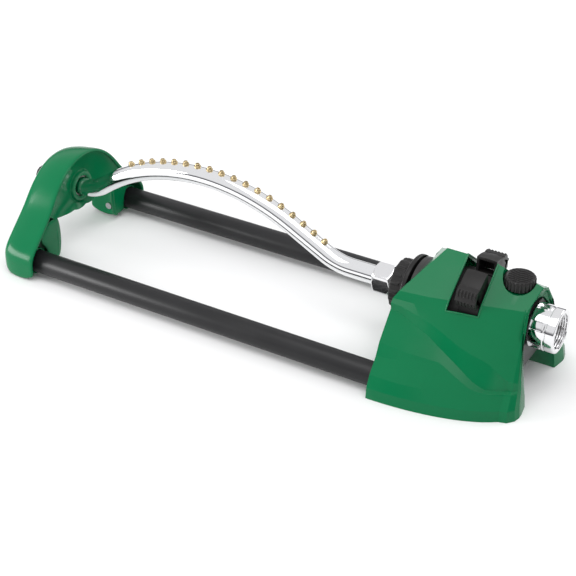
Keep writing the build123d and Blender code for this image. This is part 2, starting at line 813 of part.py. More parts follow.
# The gable is cut back over the front face, and the rear face leans inwards towards its top.
with BuildPart() as housing_form:
    for x, *sizes in housing_sections:
        with BuildSketch(across(x)):
            roofed(*sizes)
    loft(ruled=True)
    with BuildSketch(Plane.XZ.offset(-90)):
        with BuildLine():
            Polyline((121, 70), (122, 70), front_eave, front_peak, (145, 110), (121, 110), close=True)
        make_face()
        with BuildLine():
            Polyline((housing_back, 0), (housing_back + 1, 0), (housing_back + 1, 110), (217.2, 110),
                     (217.2, 74), (218.5, 62), close=True)
        make_face()
    extrude(amount=180, mode=Mode.SUBTRACT)

sleeve_end = 156.0
rib_front = 188.0
rib_back = 191.0
inlet_rib_front = 209.5
inlet_rib_back = 213.0
pocket_floor = 79.0
pocket_outer = 13.9
pocket_inner = 12.3
rib_y = 36.2
spindle_hole = 3.0
flange_clearance = 31.3          # radius of the recess the hub flange turns in
flange_recess = 8.5
tail_arch_y = 28.0
tail_arch_spring = 45.0
tail_arch_top = 72.5
tail_arch_front = 213.5
with BuildPart() as housing_ribs:
    with BuildSketch(across(housing_front)):
        with Locations((rail_y, rail_z), (-rail_y, rail_z)):
            Circle(rail_radius + socket_wall)
    extrude(amount=sleeve_end - housing_front)
    with BuildSketch(at_axis(rib_front)):
        with Locations((rib_y, -ear_drop), (-rib_y, -ear_drop)):
            Rectangle(20, ear_height + 5)
    extrude(amount=rib_back - rib_front)
    with BuildSketch(across(inlet_rib_front)):
        with Locations((40, 29), (-40, 29)):
            Rectangle(40, 10)
    extrude(amount=inlet_rib_back - inlet_rib_front)
    with BuildSketch(Plane.XY.offset(pocket_floor)):
        with Locations((knob_x, 0)):
            Circle(pocket_outer)
    extrude(amount=20)
    add(housing_form.part, mode=Mode.INTERSECT)

slot_front = 162.0
slot_back = 185.0
slot_floor = 65.0
slot_reach = 60.0
inlet_screw_y = 23.0
inlet_screw_z = 29.0
with BuildPart() as housing_shell:
    add(housing_form.part)
    for x, *sizes in housing_sections:
        inner_x = max(x, housing_front + wall)
        with BuildSketch(across(min(inner_x, housing_back - wall - 1.4))):
            roofed(*sizes, inset=wall)
    loft(ruled=True, mode=Mode.SUBTRACT)
    with BuildSketch(Plane.XZ.offset(-90)):
        with BuildLine():
            Polyline((housing_front, 71), front_eave, front_peak, (145, 92), (127.5, 68.5),
                     (housing_front, 68.5), close=True)
        make_face()
    extrude(amount=180)
    add(housing_form.part, mode=Mode.INTERSECT)
    add(housing_ribs.part)
    with BuildSketch(across(housing_front - 1)):
        with Locations((rail_y, rail_z), (-rail_y, rail_z)):
            Circle(rail_radius)
    extrude(amount=rail_end - housing_front + 1, mode=Mode.SUBTRACT)
    for side in (1, -1):
        with BuildSketch(Plane.XZ.offset(-side * screw_hole_start)):
            with Locations((rail_screw_x[1], rail_z)):
                Circle(rail_screw_radius)
        extrude(amount=-side * 8, mode=Mode.SUBTRACT)
    with BuildSketch(at_axis(housing_front - 1)):
        Circle(flange_clearance)
    extrude(amount=flange_recess, mode=Mode.SUBTRACT)
    with BuildSketch(at_axis(housing_front - 1)):
        Circle(case_radius + 0.6)
    extrude(amount=20, mode=Mode.SUBTRACT)
    with BuildSketch(across(slot_front)):
        with Locations((0, slot_floor + 25)):
            Rectangle(2 * slot_reach, 50)
    extrude(amount=slot_back - slot_front, mode=Mode.SUBTRACT)
    with BuildSketch(Plane.XY.offset(pocket_floor + 2)):
        with Locations((knob_x, 0)):
            Circle(pocket_inner)
    extrude(amount=20, mode=Mode.SUBTRACT)
    with BuildSketch(Plane.XY.offset(pocket_floor - 1)):
        with Locations((knob_x, 0)):
            Circle(spindle_hole)
    extrude(amount=6, mode=Mode.SUBTRACT)
    with BuildSketch(across(tail_arch_front)):
        with BuildLine():
            Polyline((-tail_arch_y, tail_arch_spring), (-tail_arch_y, -1), (tail_arch_y, -1),
                     (tail_arch_y, tail_arch_spring))
            ThreePointArc((tail_arch_y, tail_arch_spring), (0, tail_arch_top),
                          (-tail_arch_y, tail_arch_spring))
        make_face()
    extrude(amount=20, mode=Mode.SUBTRACT)
    with BuildSketch(at_axis(rib_front - 1)):
        with Locations((screw_y, -ear_drop), (-screw_y, -ear_drop)):
            Circle(machine_screw)
    extrude(amount=6, mode=Mode.SUBTRACT)
    with BuildSketch(across(inlet_rib_front - 1)):
        with Locations((inlet_screw_y, inlet_screw_z), (-inlet_screw_y, inlet_screw_z)):
            Circle(machine_screw)
    extrude(amount=6, mode=Mode.SUBTRACT)
save(housing_shell, "housing_shell")

screw_head_radius = 2.5
screw_head_height = 1.8
with BuildPart() as case_screws:
    for side in (1, -1):
        with BuildSketch(at_axis(ear_front + 0.4)):
            with Locations((side * screw_y, -ear_drop)):
                Circle(machine_screw)
        extrude(amount=rib_back - ear_front - 0.4)
        with BuildSketch(at_axis(rib_back)):
            with Locations((side * screw_y, -ear_drop)):
                Circle(screw_head_radius)
        extrude(amount=screw_head_height)
save(case_screws, "case_screws")

# ---------------------------------------------------------------- inlet, flow valve and swivel
pipe_radius = 9.0
pipe_bore = 6.5
pipe_end = 222.0
valve_radius = 9.5
plug_radius = 6.55
valve_bottom = 42.0
plug_bottom = 45.0
plug_top = 66.0
valve_top = 68.0
pipe_foot = 12.0                 # radius of the flange glued to the case
pipe_lip = 11.5                  # radius of the flange the swivel turns behind
with BuildPart() as inlet_pipe:
    with BuildSketch(at_axis(case_end)):
        Circle(pipe_foot)
    extrude(amount=1.2)
    with BuildSketch(at_axis(case_end)):
        Circle(pipe_radius)
    extrude(amount=pipe_end - case_end)
    with BuildSketch(at_axis(pipe_end - 2)):
        Circle(pipe_lip)
    extrude(amount=2)
    with BuildSketch(Plane.XY.offset(valve_bottom)):
        with Locations((knob_x, 0)):
            Circle(valve_radius)
    extrude(amount=valve_top - valve_bottom)
    with BuildSketch(at_axis(case_end - 1)):
        Circle(pipe_bore)
    extrude(amount=pipe_end - case_end + 2, mode=Mode.SUBTRACT)
    with BuildSketch(Plane.XY.offset(plug_bottom - 0.3)):
        with Locations((knob_x, 0)):
            Circle(plug_radius + running_gap)
    extrude(amount=40, mode=Mode.SUBTRACT)
save(inlet_pipe, "inlet_pipe")

spindle = 2.5
knob_base = 81.3
knob_top = 89.8
knob_radius = 11.7
plug_bore = 4.6
bonnet_height = 3.0
with BuildPart() as valve_plug:
    with BuildSketch(Plane.XY.offset(plug_bottom)):
        with Locations((knob_x, 0)):
            Circle(plug_radius)
    extrude(amount=plug_top - plug_bottom)
    with BuildSketch(Plane.XY.offset(plug_top)):
        with Locations((knob_x, 0)):
            Circle(spindle)
    extrude(amount=knob_base + 4 - plug_top)
    with BuildSketch(at_axis(knob_x - 10)):
        Circle(plug_bore)
    extrude(amount=20, mode=Mode.SUBTRACT)
save(valve_plug, "valve_plug")

with BuildPart() as valve_bonnet:
    with BuildSketch(Plane.XY.offset(valve_top)):
        with Locations((knob_x, 0)):
            Circle(valve_radius)
    extrude(amount=bonnet_height)
    with BuildSketch(Plane.XY.offset(plug_top + 0.3)):
        with Locations((knob_x, 0)):
            Circle(plug_radius + running_gap)
    extrude(amount=valve_top - plug_top - 0.3)
    with BuildSketch(Plane.XY.offset(plug_top)):
        with Locations((knob_x, 0)):
            Circle(spindle + running_gap)
    extrude(amount=10, mode=Mode.SUBTRACT)
save(valve_bonnet, "valve_bonnet")

with BuildPart() as knob_seal:
    with BuildSketch(Plane.XY.offset(valve_top + bonnet_height)):
        with Locations((knob_x, 0)):
            Circle(4.4)
            Circle(spindle + running_gap, mode=Mode.SUBTRACT)
    extrude(amount=1.6)
save(knob_seal, "knob_seal")

knob_grooves = 24
pointer_height = 0.7
with BuildPart() as flow_knob:
    with BuildSketch(Plane.XY.offset(knob_base)):
        with Locations((knob_x, 0)):
            Circle(knob_radius)
            with PolarLocations(knob_radius + 0.3, knob_grooves):
                Circle(0.8, mode=Mode.SUBTRACT)
    extrude(amount=knob_top - knob_base)
    with BuildSketch(Plane.XY.offset(knob_base - 1)):
        with Locations((knob_x, 0)):
            Circle(spindle)
    extrude(amount=5, mode=Mode.SUBTRACT)
    with BuildSketch(Plane.XY.offset(knob_top)):
        with Locations((knob_x - 5, 0)):
            Rectangle(8, 1.6)
    extrude(amount=pointer_height)
save(flow_knob, "flow_knob")

bracket_x = 213.0
bracket_thickness = 3.4
with BuildPart() as inlet_bracket:
    with BuildSketch(across(bracket_x)):
        with BuildLine():
            Polyline((-27.6, 22), (27.6, 22), (27, 45), (22, 60), (14, 67.5), (-14, 67.5), (-22, 60),
                     (-27, 45), close=True)
        make_face()
        with Locations(swing_centre):
            Circle(pipe_radius, mode=Mode.SUBTRACT)
        with Locations((inlet_screw_y, inlet_screw_z), (-inlet_screw_y, inlet_screw_z)):
            Circle(machine_screw, mode=Mode.SUBTRACT)
    extrude(amount=bracket_thickness)
save(inlet_bracket, "inlet_bracket")

with BuildPart() as inlet_screws:
    for side in (1, -1):
        with BuildSketch(across(inlet_rib_front)):
            with Locations((side * inlet_screw_y, inlet_screw_z)):
                Circle(machine_screw)
        extrude(amount=bracket_x + bracket_thickness - inlet_rib_front)
        with BuildSketch(across(bracket_x + bracket_thickness)):
            with Locations((side * inlet_screw_y, inlet_screw_z)):
                Circle(screw_head_radius + 0.3)
        extrude(amount=screw_head_height)
save(inlet_screws, "inlet_screws")

# The swivel turns on the pipe behind its flange. Hose thread 3/4, minor radius.
thread_radius = 12.06
thread_start = 225.0
relief_radius = 12.6
swivel_radius = 17.0
socket_depth = 2.5
pocket_count = 6
with BuildPart() as hose_swivel:
    with BuildSketch(at_axis(swivel_start)):
        Circle(swivel_radius)
    extrude(amount=swivel_end - swivel_start)
    with BuildSketch(at_axis(swivel_start - 1)):
        Circle(pipe_radius + running_gap)
    extrude(amount=4, mode=Mode.SUBTRACT)
    with BuildSketch(at_axis(swivel_start + socket_depth)):
        Circle(relief_radius)
    extrude(amount=thread_start - swivel_start - socket_depth, mode=Mode.SUBTRACT)
    with BuildSketch(at_axis(thread_start - 0.5)):
        Circle(thread_radius)
    extrude(amount=swivel_end - thread_start + 1, mode=Mode.SUBTRACT)
    with BuildSketch(at_axis(swivel_start + 2)):
        with PolarLocations(swivel_radius, pocket_count):
            Rectangle(5, 7)
    extrude(amount=9, mode=Mode.SUBTRACT)
save(hose_swivel, "hose_swivel")

with BuildPart() as hose_washer:
    with BuildSketch(at_axis(pipe_end + 0.3)):
        Circle(12.0)
        Circle(7.0, mode=Mode.SUBTRACT)
    extrude(amount=2.5)
save(hose_washer, "hose_washer")

with BuildPart() as inlet_filter:
    with BuildSketch(at_axis(pipe_end + 0.9)):
        Circle(7.0)
        with GridLocations(3.2, 3.2, 3, 3):
            Rectangle(2.2, 2.2, mode=Mode.SUBTRACT)
    extrude(amount=1.2)
save(inlet_filter, "inlet_filter")
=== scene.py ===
"""An oscillating lawn sprinkler: a chrome spray tube swings between a green hooded stand and a green
drive housing, which two black steel rails hold apart. Lengths are in metres, as in the CAD frame."""
import json
from math import acos, cos, pi, radians, sin, sqrt, tan

import bmesh
import bpy
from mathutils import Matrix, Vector


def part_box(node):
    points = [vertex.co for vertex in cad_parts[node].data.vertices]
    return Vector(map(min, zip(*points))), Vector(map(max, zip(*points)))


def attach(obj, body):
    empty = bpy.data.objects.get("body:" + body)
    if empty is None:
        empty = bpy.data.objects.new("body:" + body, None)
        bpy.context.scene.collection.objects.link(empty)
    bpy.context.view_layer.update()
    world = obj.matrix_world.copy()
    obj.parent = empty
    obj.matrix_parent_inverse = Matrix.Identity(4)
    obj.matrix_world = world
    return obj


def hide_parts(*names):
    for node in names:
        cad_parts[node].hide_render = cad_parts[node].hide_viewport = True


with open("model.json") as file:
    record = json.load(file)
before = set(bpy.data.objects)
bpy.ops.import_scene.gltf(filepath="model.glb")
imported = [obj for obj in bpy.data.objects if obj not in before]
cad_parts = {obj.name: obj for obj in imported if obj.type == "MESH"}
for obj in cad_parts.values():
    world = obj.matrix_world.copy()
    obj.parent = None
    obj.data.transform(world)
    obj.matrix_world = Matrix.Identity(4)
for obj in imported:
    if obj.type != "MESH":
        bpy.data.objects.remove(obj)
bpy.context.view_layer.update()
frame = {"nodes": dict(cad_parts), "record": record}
nodes = frame["nodes"]

# ---------------------------------------------------------------- studio
# A white sweep under one broad soft light from above and a low light box at the left, which lays the
# pale sheen on the stand. The dark horizon gives the chrome its one dark line.
scene = bpy.context.scene
scene.view_settings.view_transform = "Standard"
lens_data = bpy.data.cameras.new("studio_camera")
lens_data.sensor_width = 36
lens_data.lens = 90.72
lens_data.clip_start = 0.02
lens_data.clip_end = 60
camera = bpy.data.objects.new("studio_camera", lens_data)
camera.location = (0.51155, -0.84236, 0.63703)
camera.rotation_euler = Vector((-0.4327, 0.7258, -0.5348)).to_track_quat("-Z", "Y").to_euler()
scene.collection.objects.link(camera)
scene.camera = camera

for name, place, aim, width, height, power in (
        ("overhead_box", (0.25, -0.55, 1.9), (0.0, 0.0, 0.0), 1.6, 1.2, 14.0),
        ("left_box", (-1.35, -0.95, 0.34), (-0.2, 0.0, 0.06), 0.9, 0.55, 17.0),
        ("rear_box", (0.9, 1.5, 1.0), (0.1, 0.0, 0.05), 1.0, 0.8, 7.0)):
    light_data = bpy.data.lights.new(name, "AREA")
    light_data.shape = "RECTANGLE"
    light_data.size = width
    light_data.size_y = height
    light_data.energy = power
    light = bpy.data.objects.new(name, light_data)
    light.location = place
    light.rotation_euler = (Vector(aim) - Vector(place)).to_track_quat("-Z", "Y").to_euler()
    scene.collection.objects.link(light)

sky = bpy.data.worlds.new("white_room")
scene.world = sky
sky.use_nodes = True
sky_tree = sky.node_tree
sky_tree.nodes.clear()
sky_place = sky_tree.nodes.new("ShaderNodeTexCoord")
sky_place.label = "direction into the room"
sky_split = sky_tree.nodes.new("ShaderNodeSeparateXYZ")
sky_split.label = "height above the horizon"
sky_ramp = sky_tree.nodes.new("ShaderNodeValToRGB")
sky_ramp.label = "dark horizon, white ceiling"
sky_ramp.color_ramp.elements[0].position = 0.0
sky_ramp.color_ramp.elements[0].color = (0.10, 0.10, 0.11, 1)
sky_ramp.color_ramp.elements[1].position = 0.30
sky_ramp.color_ramp.elements[1].color = (0.92, 0.92, 0.93, 1)
dark_band = sky_ramp.color_ramp.elements.new(0.13)
dark_band.color = (0.12, 0.12, 0.13, 1)
sky_light = sky_tree.nodes.new("ShaderNodeBackground")
sky_light.label = "room light"
sky_light.inputs["Strength"].default_value = 0.95
sky_out = sky_tree.nodes.new("ShaderNodeOutputWorld")
sky_out.label = "room"
for step, node in enumerate((sky_place, sky_split, sky_ramp, sky_light, sky_out)):
    node.location = (220 * step, 0)
sky_tree.links.new(sky_place.outputs["Generated"], sky_split.inputs["Vector"])
sky_tree.links.new(sky_split.outputs["Z"], sky_ramp.inputs["Fac"])
sky_tree.links.new(sky_ramp.outputs["Color"], sky_light.inputs["Color"])
sky_tree.links.new(sky_light.outputs["Background"], sky_out.inputs["Surface"])

paper_mesh = bpy.data.meshes.new("paper_sweep")
paper_mesh.from_pydata([(-14, -14, 0), (14, -14, 0), (14, 14, 0), (-14, 14, 0)], [], [(0, 1, 2, 3)])
paper_sweep = bpy.data.objects.new("paper_sweep", paper_mesh)
scene.collection.objects.link(paper_sweep)
paper = bpy.data.materials.new("paper")
paper.use_nodes = True
paper_tree = paper.node_tree
paper_shader = paper_tree.nodes["Principled BSDF"]
paper_shader.label = "matt white paper"
paper_shader.inputs["Base Color"].default_value = (0.90, 0.90, 0.90, 1)
paper_shader.inputs["Roughness"].default_value = 0.9
paper_shader.inputs["Specular IOR Level"].default_value = 0.1
paper_mesh.materials.append(paper)


# ---------------------------------------------------------------- rails
# Two lengths of 19 mm drawn steel tube, powder coated satin black. Their ends are slightly drawn in
# and screwed into the stand and the housing.
def powder_coat(name, colour, roughness):
    """Baked powder coat: near black, an even satin with a fine orange peel and a few dull rubs."""
    material = bpy.data.materials.new(name)
    material.use_nodes = True
    tree = material.node_tree
    tree.nodes.clear()
    place = tree.nodes.new("ShaderNodeTexCoord")
    place.label = "place on the piece"
    rub_noise = tree.nodes.new("ShaderNodeTexNoise")
    rub_noise.label = "handling rubs"
    rub_noise.inputs["Scale"].default_value = 22
    rub_noise.inputs["Detail"].default_value = 4
    rub_tint = tree.nodes.new("ShaderNodeValToRGB")
    rub_tint.label = "coat, a little greyer where rubbed"
    rub_tint.color_ramp.elements[0].position = 0.42
    rub_tint.color_ramp.elements[0].color = (*colour, 1)
    rub_tint.color_ramp.elements[1].position = 0.78
    rub_tint.color_ramp.elements[1].color = (*[c * 1.35 for c in colour], 1)
    rub_gloss = tree.nodes.new("ShaderNodeMapRange")
    rub_gloss.label = "rubs are duller"
    rub_gloss.inputs["To Min"].default_value = roughness - 0.05
    rub_gloss.inputs["To Max"].default_value = roughness + 0.09
    peel_noise = tree.nodes.new("ShaderNodeTexNoise")
    peel_noise.label = "orange peel"
    peel_noise.inputs["Scale"].default_value = 620
    peel_noise.inputs["Detail"].default_value = 2
    peel_bump = tree.nodes.new("ShaderNodeBump")
    peel_bump.label = "orange peel height"
    peel_bump.inputs["Strength"].default_value = 0.16
    peel_bump.inputs["Distance"].default_value = 0.0002
    shader = tree.nodes.new("ShaderNodeBsdfPrincipled")
    shader.label = "baked coat"
    shader.inputs["IOR"].default_value = 1.5
    shader.inputs["Specular IOR Level"].default_value = 0.32
    out = tree.nodes.new("ShaderNodeOutputMaterial")
    out.label = "surface"
    colour_frame = tree.nodes.new("NodeFrame")
    colour_frame.label = "coat colour and rubs"
    peel_frame = tree.nodes.new("NodeFrame")
    peel_frame.label = "coat texture"
    for node in (rub_noise, rub_tint, rub_gloss):
        node.parent = colour_frame
    for node in (peel_noise, peel_bump):
        node.parent = peel_frame
    for node, spot in zip((place, rub_noise, rub_tint, rub_gloss, peel_noise, peel_bump, shader, out),
                          ((0, 0), (220, 160), (440, 240), (440, 0), (220, -260), (440, -260),
                           (760, 60), (1040, 60))):
        node.location = spot
    tree.links.new(place.outputs["Object"], rub_noise.inputs["Vector"])
    tree.links.new(rub_noise.outputs["Fac"], rub_tint.inputs["Fac"])
    tree.links.new(rub_noise.outputs["Fac"], rub_gloss.inputs["Value"])
    tree.links.new(place.outputs["Object"], peel_noise.inputs["Vector"])
    tree.links.new(peel_noise.outputs["Fac"], peel_bump.inputs["Height"])
    tree.links.new(rub_tint.outputs["Color"], shader.inputs["Base Color"])
    tree.links.new(rub_gloss.outputs["Result"], shader.inputs["Roughness"])
    tree.links.new(peel_bump.outputs["Normal"], shader.inputs["Normal"])
    tree.links.new(shader.outputs["BSDF"], out.inputs["Surface"])
    return material


satin_black = powder_coat("satin_black_coat", (0.012, 0.012, 0.013), 0.36)
rail_low, rail_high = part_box("left_rail")
rail_radius = (rail_high.z - rail_low.z) / 2
for name, node_name in (("left_rail_tube", "left_rail"), ("right_rail_tube", "right_rail")):
    low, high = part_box(node_name)
    middle = (low + high) / 2
    rail_line = bpy.data.curves.new(name, "CURVE")
    rail_line.dimensions = "3D"
    rail_line.bevel_depth = rail_radius
    rail_line.bevel_resolution = 10
    rail_line.use_fill_caps = True
    run = rail_line.splines.new("POLY")
    run.points.add(3)
    for point, x, size in zip(run.points, (low.x, low.x + 0.002, high.x - 0.002, high.x),
                              (0.93, 1.0, 1.0, 0.93)):
        point.co = (x, middle.y, middle.z, 1)
        point.radius = size
    rail_line.materials.append(satin_black)
    rail_tube = bpy.data.objects.new(name, rail_line)
    scene.collection.objects.link(rail_tube)
    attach(rail_tube, "base_frame")
    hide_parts(node_name)


# ---------------------------------------------------------------- end stand
# A hooded stand moulded in one piece of glossy green plastic. The hood is open towards the tube, and
# each leg is a channel around a rail's end, with a web that half closes its front.
def moulded_plastic(name, colour, gloss, specular, grain, mottle, highlight_strength):
    """Injection-moulded plastic: faint flow marks, an uneven gloss, a skin grain, and a painted highlight
    that makes the proudest edges paler.
    """
    material = bpy.data.materials.new(name)
    material.use_nodes = True
    tree = material.node_tree
    tree.nodes.clear()
    place = tree.nodes.new("ShaderNodeTexCoord")
    place.label = "place on the piece"
    stretch = tree.nodes.new("ShaderNodeMapping")
    stretch.label = "flow runs along the moulding"
    stretch.inputs["Scale"].default_value = (0.45, 1.0, 1.0)
    flow = tree.nodes.new("ShaderNodeTexNoise")
    flow.label = "flow marks"
    flow.inputs["Scale"].default_value = 26
    flow.inputs["Detail"].default_value = 3
    flow.inputs["Distortion"].default_value = 0.6
    pigment = tree.nodes.new("ShaderNodeValToRGB")
    pigment.label = "pigment, light and dark"
    pigment.color_ramp.elements[0].position = 0.3
    pigment.color_ramp.elements[0].color = (*[c * (1 - mottle) for c in colour], 1)
    pigment.color_ramp.elements[1].position = 0.7
    pigment.color_ramp.elements[1].color = (*[c * (1 + mottle) for c in colour], 1)
    # Painted highlight: where pointiness finds a proud edge, the colour is mixed towards a paler tint,
    # standing in for the light that the edges catch.
    shape = tree.nodes.new("ShaderNodeNewGeometry")
    shape.label = "sharp edges"
    edge = tree.nodes.new("ShaderNodeMapRange")
    edge.label = "only the proudest edges"
    edge.inputs["From Min"].default_value = 0.53
    edge.inputs["From Max"].default_value = 0.62
    edge.inputs["To Max"].default_value = highlight_strength
    highlight_mix = tree.nodes.new("ShaderNodeMix")
    highlight_mix.label = "edges painted paler as a highlight"
    highlight_mix.data_type = "RGBA"
    highlight_mix.inputs["B"].default_value = (*[c * 0.8 + 0.12 for c in colour], 1)
    haze = tree.nodes.new("ShaderNodeTexNoise")
    haze.label = "uneven polish of the mould"
    haze.inputs["Scale"].default_value = 60
    haze.inputs["Detail"].default_value = 5
    polish = tree.nodes.new("ShaderNodeMapRange")
    polish.label = "polish to roughness"
    polish.inputs["From Min"].default_value = 0.3
    polish.inputs["From Max"].default_value = 0.7
    polish.inputs["To Min"].default_value = gloss * 0.85
    polish.inputs["To Max"].default_value = gloss * 1.25
    skin = tree.nodes.new("ShaderNodeTexNoise")
    skin.label = "moulded skin"
    skin.inputs["Scale"].default_value = 1400
    skin.inputs["Detail"].default_value = 2
    skin_bump = tree.nodes.new("ShaderNodeBump")
    skin_bump.label = "skin grain"
    skin_bump.inputs["Strength"].default_value = grain
    skin_bump.inputs["Distance"].default_value = 0.0001
    sink = tree.nodes.new("ShaderNodeTexNoise")
    sink.label = "sink marks"
    sink.inputs["Scale"].default_value = 38
    sink.inputs["Detail"].default_value = 1
    sink_bump = tree.nodes.new("ShaderNodeBump")
    sink_bump.label = "shallow waves of the wall"
    sink_bump.inputs["Strength"].default_value = 0.10
    sink_bump.inputs["Distance"].default_value = 0.0006
    shader = tree.nodes.new("ShaderNodeBsdfPrincipled")
    shader.label = "plastic"
    shader.inputs["IOR"].default_value = 1.5
    shader.inputs["Specular IOR Level"].default_value = specular
    out = tree.nodes.new("ShaderNodeOutputMaterial")
    out.label = "surface"
    colour_frame = tree.nodes.new("NodeFrame")
    colour_frame.label = "pigment and painted edge highlight"
    gloss_frame = tree.nodes.new("NodeFrame")
    gloss_frame.label = "gloss"
    skin_frame = tree.nodes.new("NodeFrame")
    skin_frame.label = "grain and sinks"
    for node in (flow, pigment, shape, edge, highlight_mix):
        node.parent = colour_frame
    for node in (haze, polish):
        node.parent = gloss_frame
    for node in (skin, skin_bump, sink, sink_bump):
        node.parent = skin_frame
    for node, spot in zip((place, stretch, flow, pigment, shape, edge, highlight_mix, haze, polish, skin, skin_bump,
                           sink, sink_bump, shader, out),
                          ((0, 0), (200, 240), (400, 240), (600, 240), (400, 480), (600, 480), (840, 320),
                           (400, -20), (600, -20), (400, -280), (840, -280), (400, -520), (600, -520),
                           (1120, 100), (1400, 100))):
        node.location = spot
    tree.links.new(place.outputs["Object"], stretch.inputs["Vector"])
    tree.links.new(stretch.outputs["Vector"], flow.inputs["Vector"])
    tree.links.new(flow.outputs["Fac"], pigment.inputs["Fac"])
    tree.links.new(shape.outputs["Pointiness"], edge.inputs["Value"])
    tree.links.new(edge.outputs["Result"], highlight_mix.inputs["Factor"])
    tree.links.new(pigment.outputs["Color"], highlight_mix.inputs["A"])
    tree.links.new(place.outputs["Object"], haze.inputs["Vector"])
    tree.links.new(haze.outputs["Fac"], polish.inputs["Value"])
    tree.links.new(place.outputs["Object"], sink.inputs["Vector"])
    tree.links.new(sink.outputs["Fac"], sink_bump.inputs["Height"])
    tree.links.new(place.outputs["Object"], skin.inputs["Vector"])
    tree.links.new(skin.outputs["Fac"], skin_bump.inputs["Height"])
    tree.links.new(sink_bump.outputs["Normal"], skin_bump.inputs["Normal"])
    tree.links.new(highlight_mix.outputs["Result"], shader.inputs["Base Color"])
    tree.links.new(polish.outputs["Result"], shader.inputs["Roughness"])
    tree.links.new(skin_bump.outputs["Normal"], shader.inputs["Normal"])
    tree.links.new(shader.outputs["BSDF"], out.inputs["Surface"])
    return material


def build(name, points, faces, material):
    """A smooth piece from points in millimetres, its faces turned outwards."""
    mesh = bpy.data.meshes.new(name)
    mesh.from_pydata([(x / 1000, y / 1000, z / 1000) for x, y, z in points], [], faces)
    work = bmesh.new()
    work.from_mesh(mesh)
    bmesh.ops.remove_doubles(work, verts=work.verts, dist=0.00001)
    bmesh.ops.recalc_face_normals(work, faces=work.faces)
    work.to_mesh(mesh)
    work.free()
    for face in mesh.polygons:
        face.use_smooth = True
    mesh.materials.append(material)
    piece = bpy.data.objects.new(name, mesh)
    scene.collection.objects.link(piece)
    return piece


def soften(piece, width, segments=3, angle=30):
    """Rounds a piece's sharp edges to a width in millimetres and keeps its broad faces flat."""
    bevel = piece.modifiers.new("rounded_edges", "BEVEL")
    bevel.width = width / 1000
    bevel.segments = segments
    bevel.limit_method = "ANGLE"
    bevel.angle_limit = radians(angle)
    bevel.use_clamp_overlap = True
    normals = piece.modifiers.new("flat_faces", "WEIGHTED_NORMAL")
    normals.keep_sharp = True


# The last number of each moulded_plastic call sets how strongly the edges are painted paler as a highlight.
green_gloss = moulded_plastic("green_gloss", (0.0, 0.148, 0.052), 0.20, 0.20, 0.05, 0.035, 0.5)

# Half of the hood's outline and of the arch under it, from a foot up to the crown: (across, up).
hood_half = ((79, 0), (79, 10), (79.2, 21), (70.6, 29.4), (62.4, 37.4), (54.4, 45.2), (47.6, 52.6),
             (40.6, 63), (31.4, 73), (21.4, 80), (11, 84), (0, 85.2))
arch_half = ((43, 0), (43, 8), (43, 18), (42.6, 26), (40.5, 33), (36.5, 39), (31, 43), (24, 46), (16, 48),
             (9.8, 51.5), (8.4, 58.5), (0, 62))
# Each column of the skin: x, leg scale, crown scale and how far the foot's edge is lifted.
skin_columns = ((-188, 1.0, 1.0, 6), (-190, 1.006, 1.006, 4), (-198, 1.0, 0.997, 0), (-207, 0.996, 0.98, 0),
                (-215, 0.98, 0.952, 0), (-219.6, 0.955, 0.92, 3), (-221.4, 0.915, 0.88, 7))
# The web that half closes a leg's front: inner edge, height and outer edge.
web_half = ((38, 5, 53.4), (35.5, 10, 53.0), (34, 20, 54.0), (34, 29, 63.5), (35, 36.5, 57), (37.5, 42.5, 50))
# How far the arch's wall reaches in from the back, for each row from the foot up.
arch_depths = (28, 28, 28, 28, 28, 26, 22, 17, 11, 6, 4, 4)
arch_back = -221.4
stand_points = []
stand_faces = []
row_count = 2 * len(hood_half) - 1
for row in range(row_count):
    far_side = row >= len(hood_half)
    index = row if not far_side else 2 * len(hood_half) - 2 - row
    sign = 1 if far_side else -1
    hood_y, hood_z = hood_half[index]
    arch_y, arch_z = arch_half[index]
    crown = min(1.0, max(0.0, (hood_z - 21) / 50))
    lift_share = 1 if index == 0 else 0
    for x, leg_scale, crown_scale, lift in skin_columns:
        size = leg_scale + (crown_scale - leg_scale) * crown
        height = 1 + (size - 1) * crown
        stand_points.append((x, sign * hood_y * size, hood_z * height + lift * lift_share))
    back_y, back_z = stand_points[-1][1:]
    stand_points.append((-221.8, (back_y * 0.45 + sign * arch_y * 0.55), back_z * 0.45 + arch_z * 0.55
                         + 4 * lift_share))
    stand_points.append((arch_back, sign * arch_y, arch_z + 7 * lift_share))
    depth = arch_depths[index]
    stand_points.append((-219.5, sign * arch_y, arch_z + 4 * lift_share))
    stand_points.append((arch_back + depth * 0.5, sign * arch_y, arch_z))
    stand_points.append((arch_back + depth, sign * arch_y, arch_z + 3 * lift_share))
    if index < len(web_half):
        web_inner, web_z, web_outer = web_half[index]
        stand_points.append((-192.4, sign * (web_inner + 0.6), web_z))
        stand_points.append((-190.9, sign * web_inner, web_z))
        stand_points.append((-190.4, sign * web_outer, web_z))
    else:
        stand_points += [stand_points[-1]] * 3
column_count = len(stand_points) // row_count
for row in range(row_count - 1):
    for column in range(column_count - 1):
        low_index = min(row, 2 * len(hood_half) - 3 - row)
        if column >= column_count - 4 and low_index >= len(web_half) - 1:
            continue
        corner = row * column_count + column
        stand_faces.append((corner, corner + column_count, corner + column_count + 1, corner + 1))
end_hood = build("end_hood", stand_points, stand_faces, green_gloss)
crown_face = max(end_hood.data.polygons, key=lambda face: face.center.z)
if crown_face.normal.z < 0:
    end_hood.data.flip_normals()
hood_wall = end_hood.modifiers.new("wall", "SOLIDIFY")
hood_wall.thickness = 0.0026
hood_wall.offset = -1
hood_wall.use_even_offset = True
hood_smooth = end_hood.modifiers.new("moulded_curves", "SUBSURF")
hood_smooth.levels = 2
hood_smooth.render_levels = 2
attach(end_hood, "base_frame")
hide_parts("end_stand")


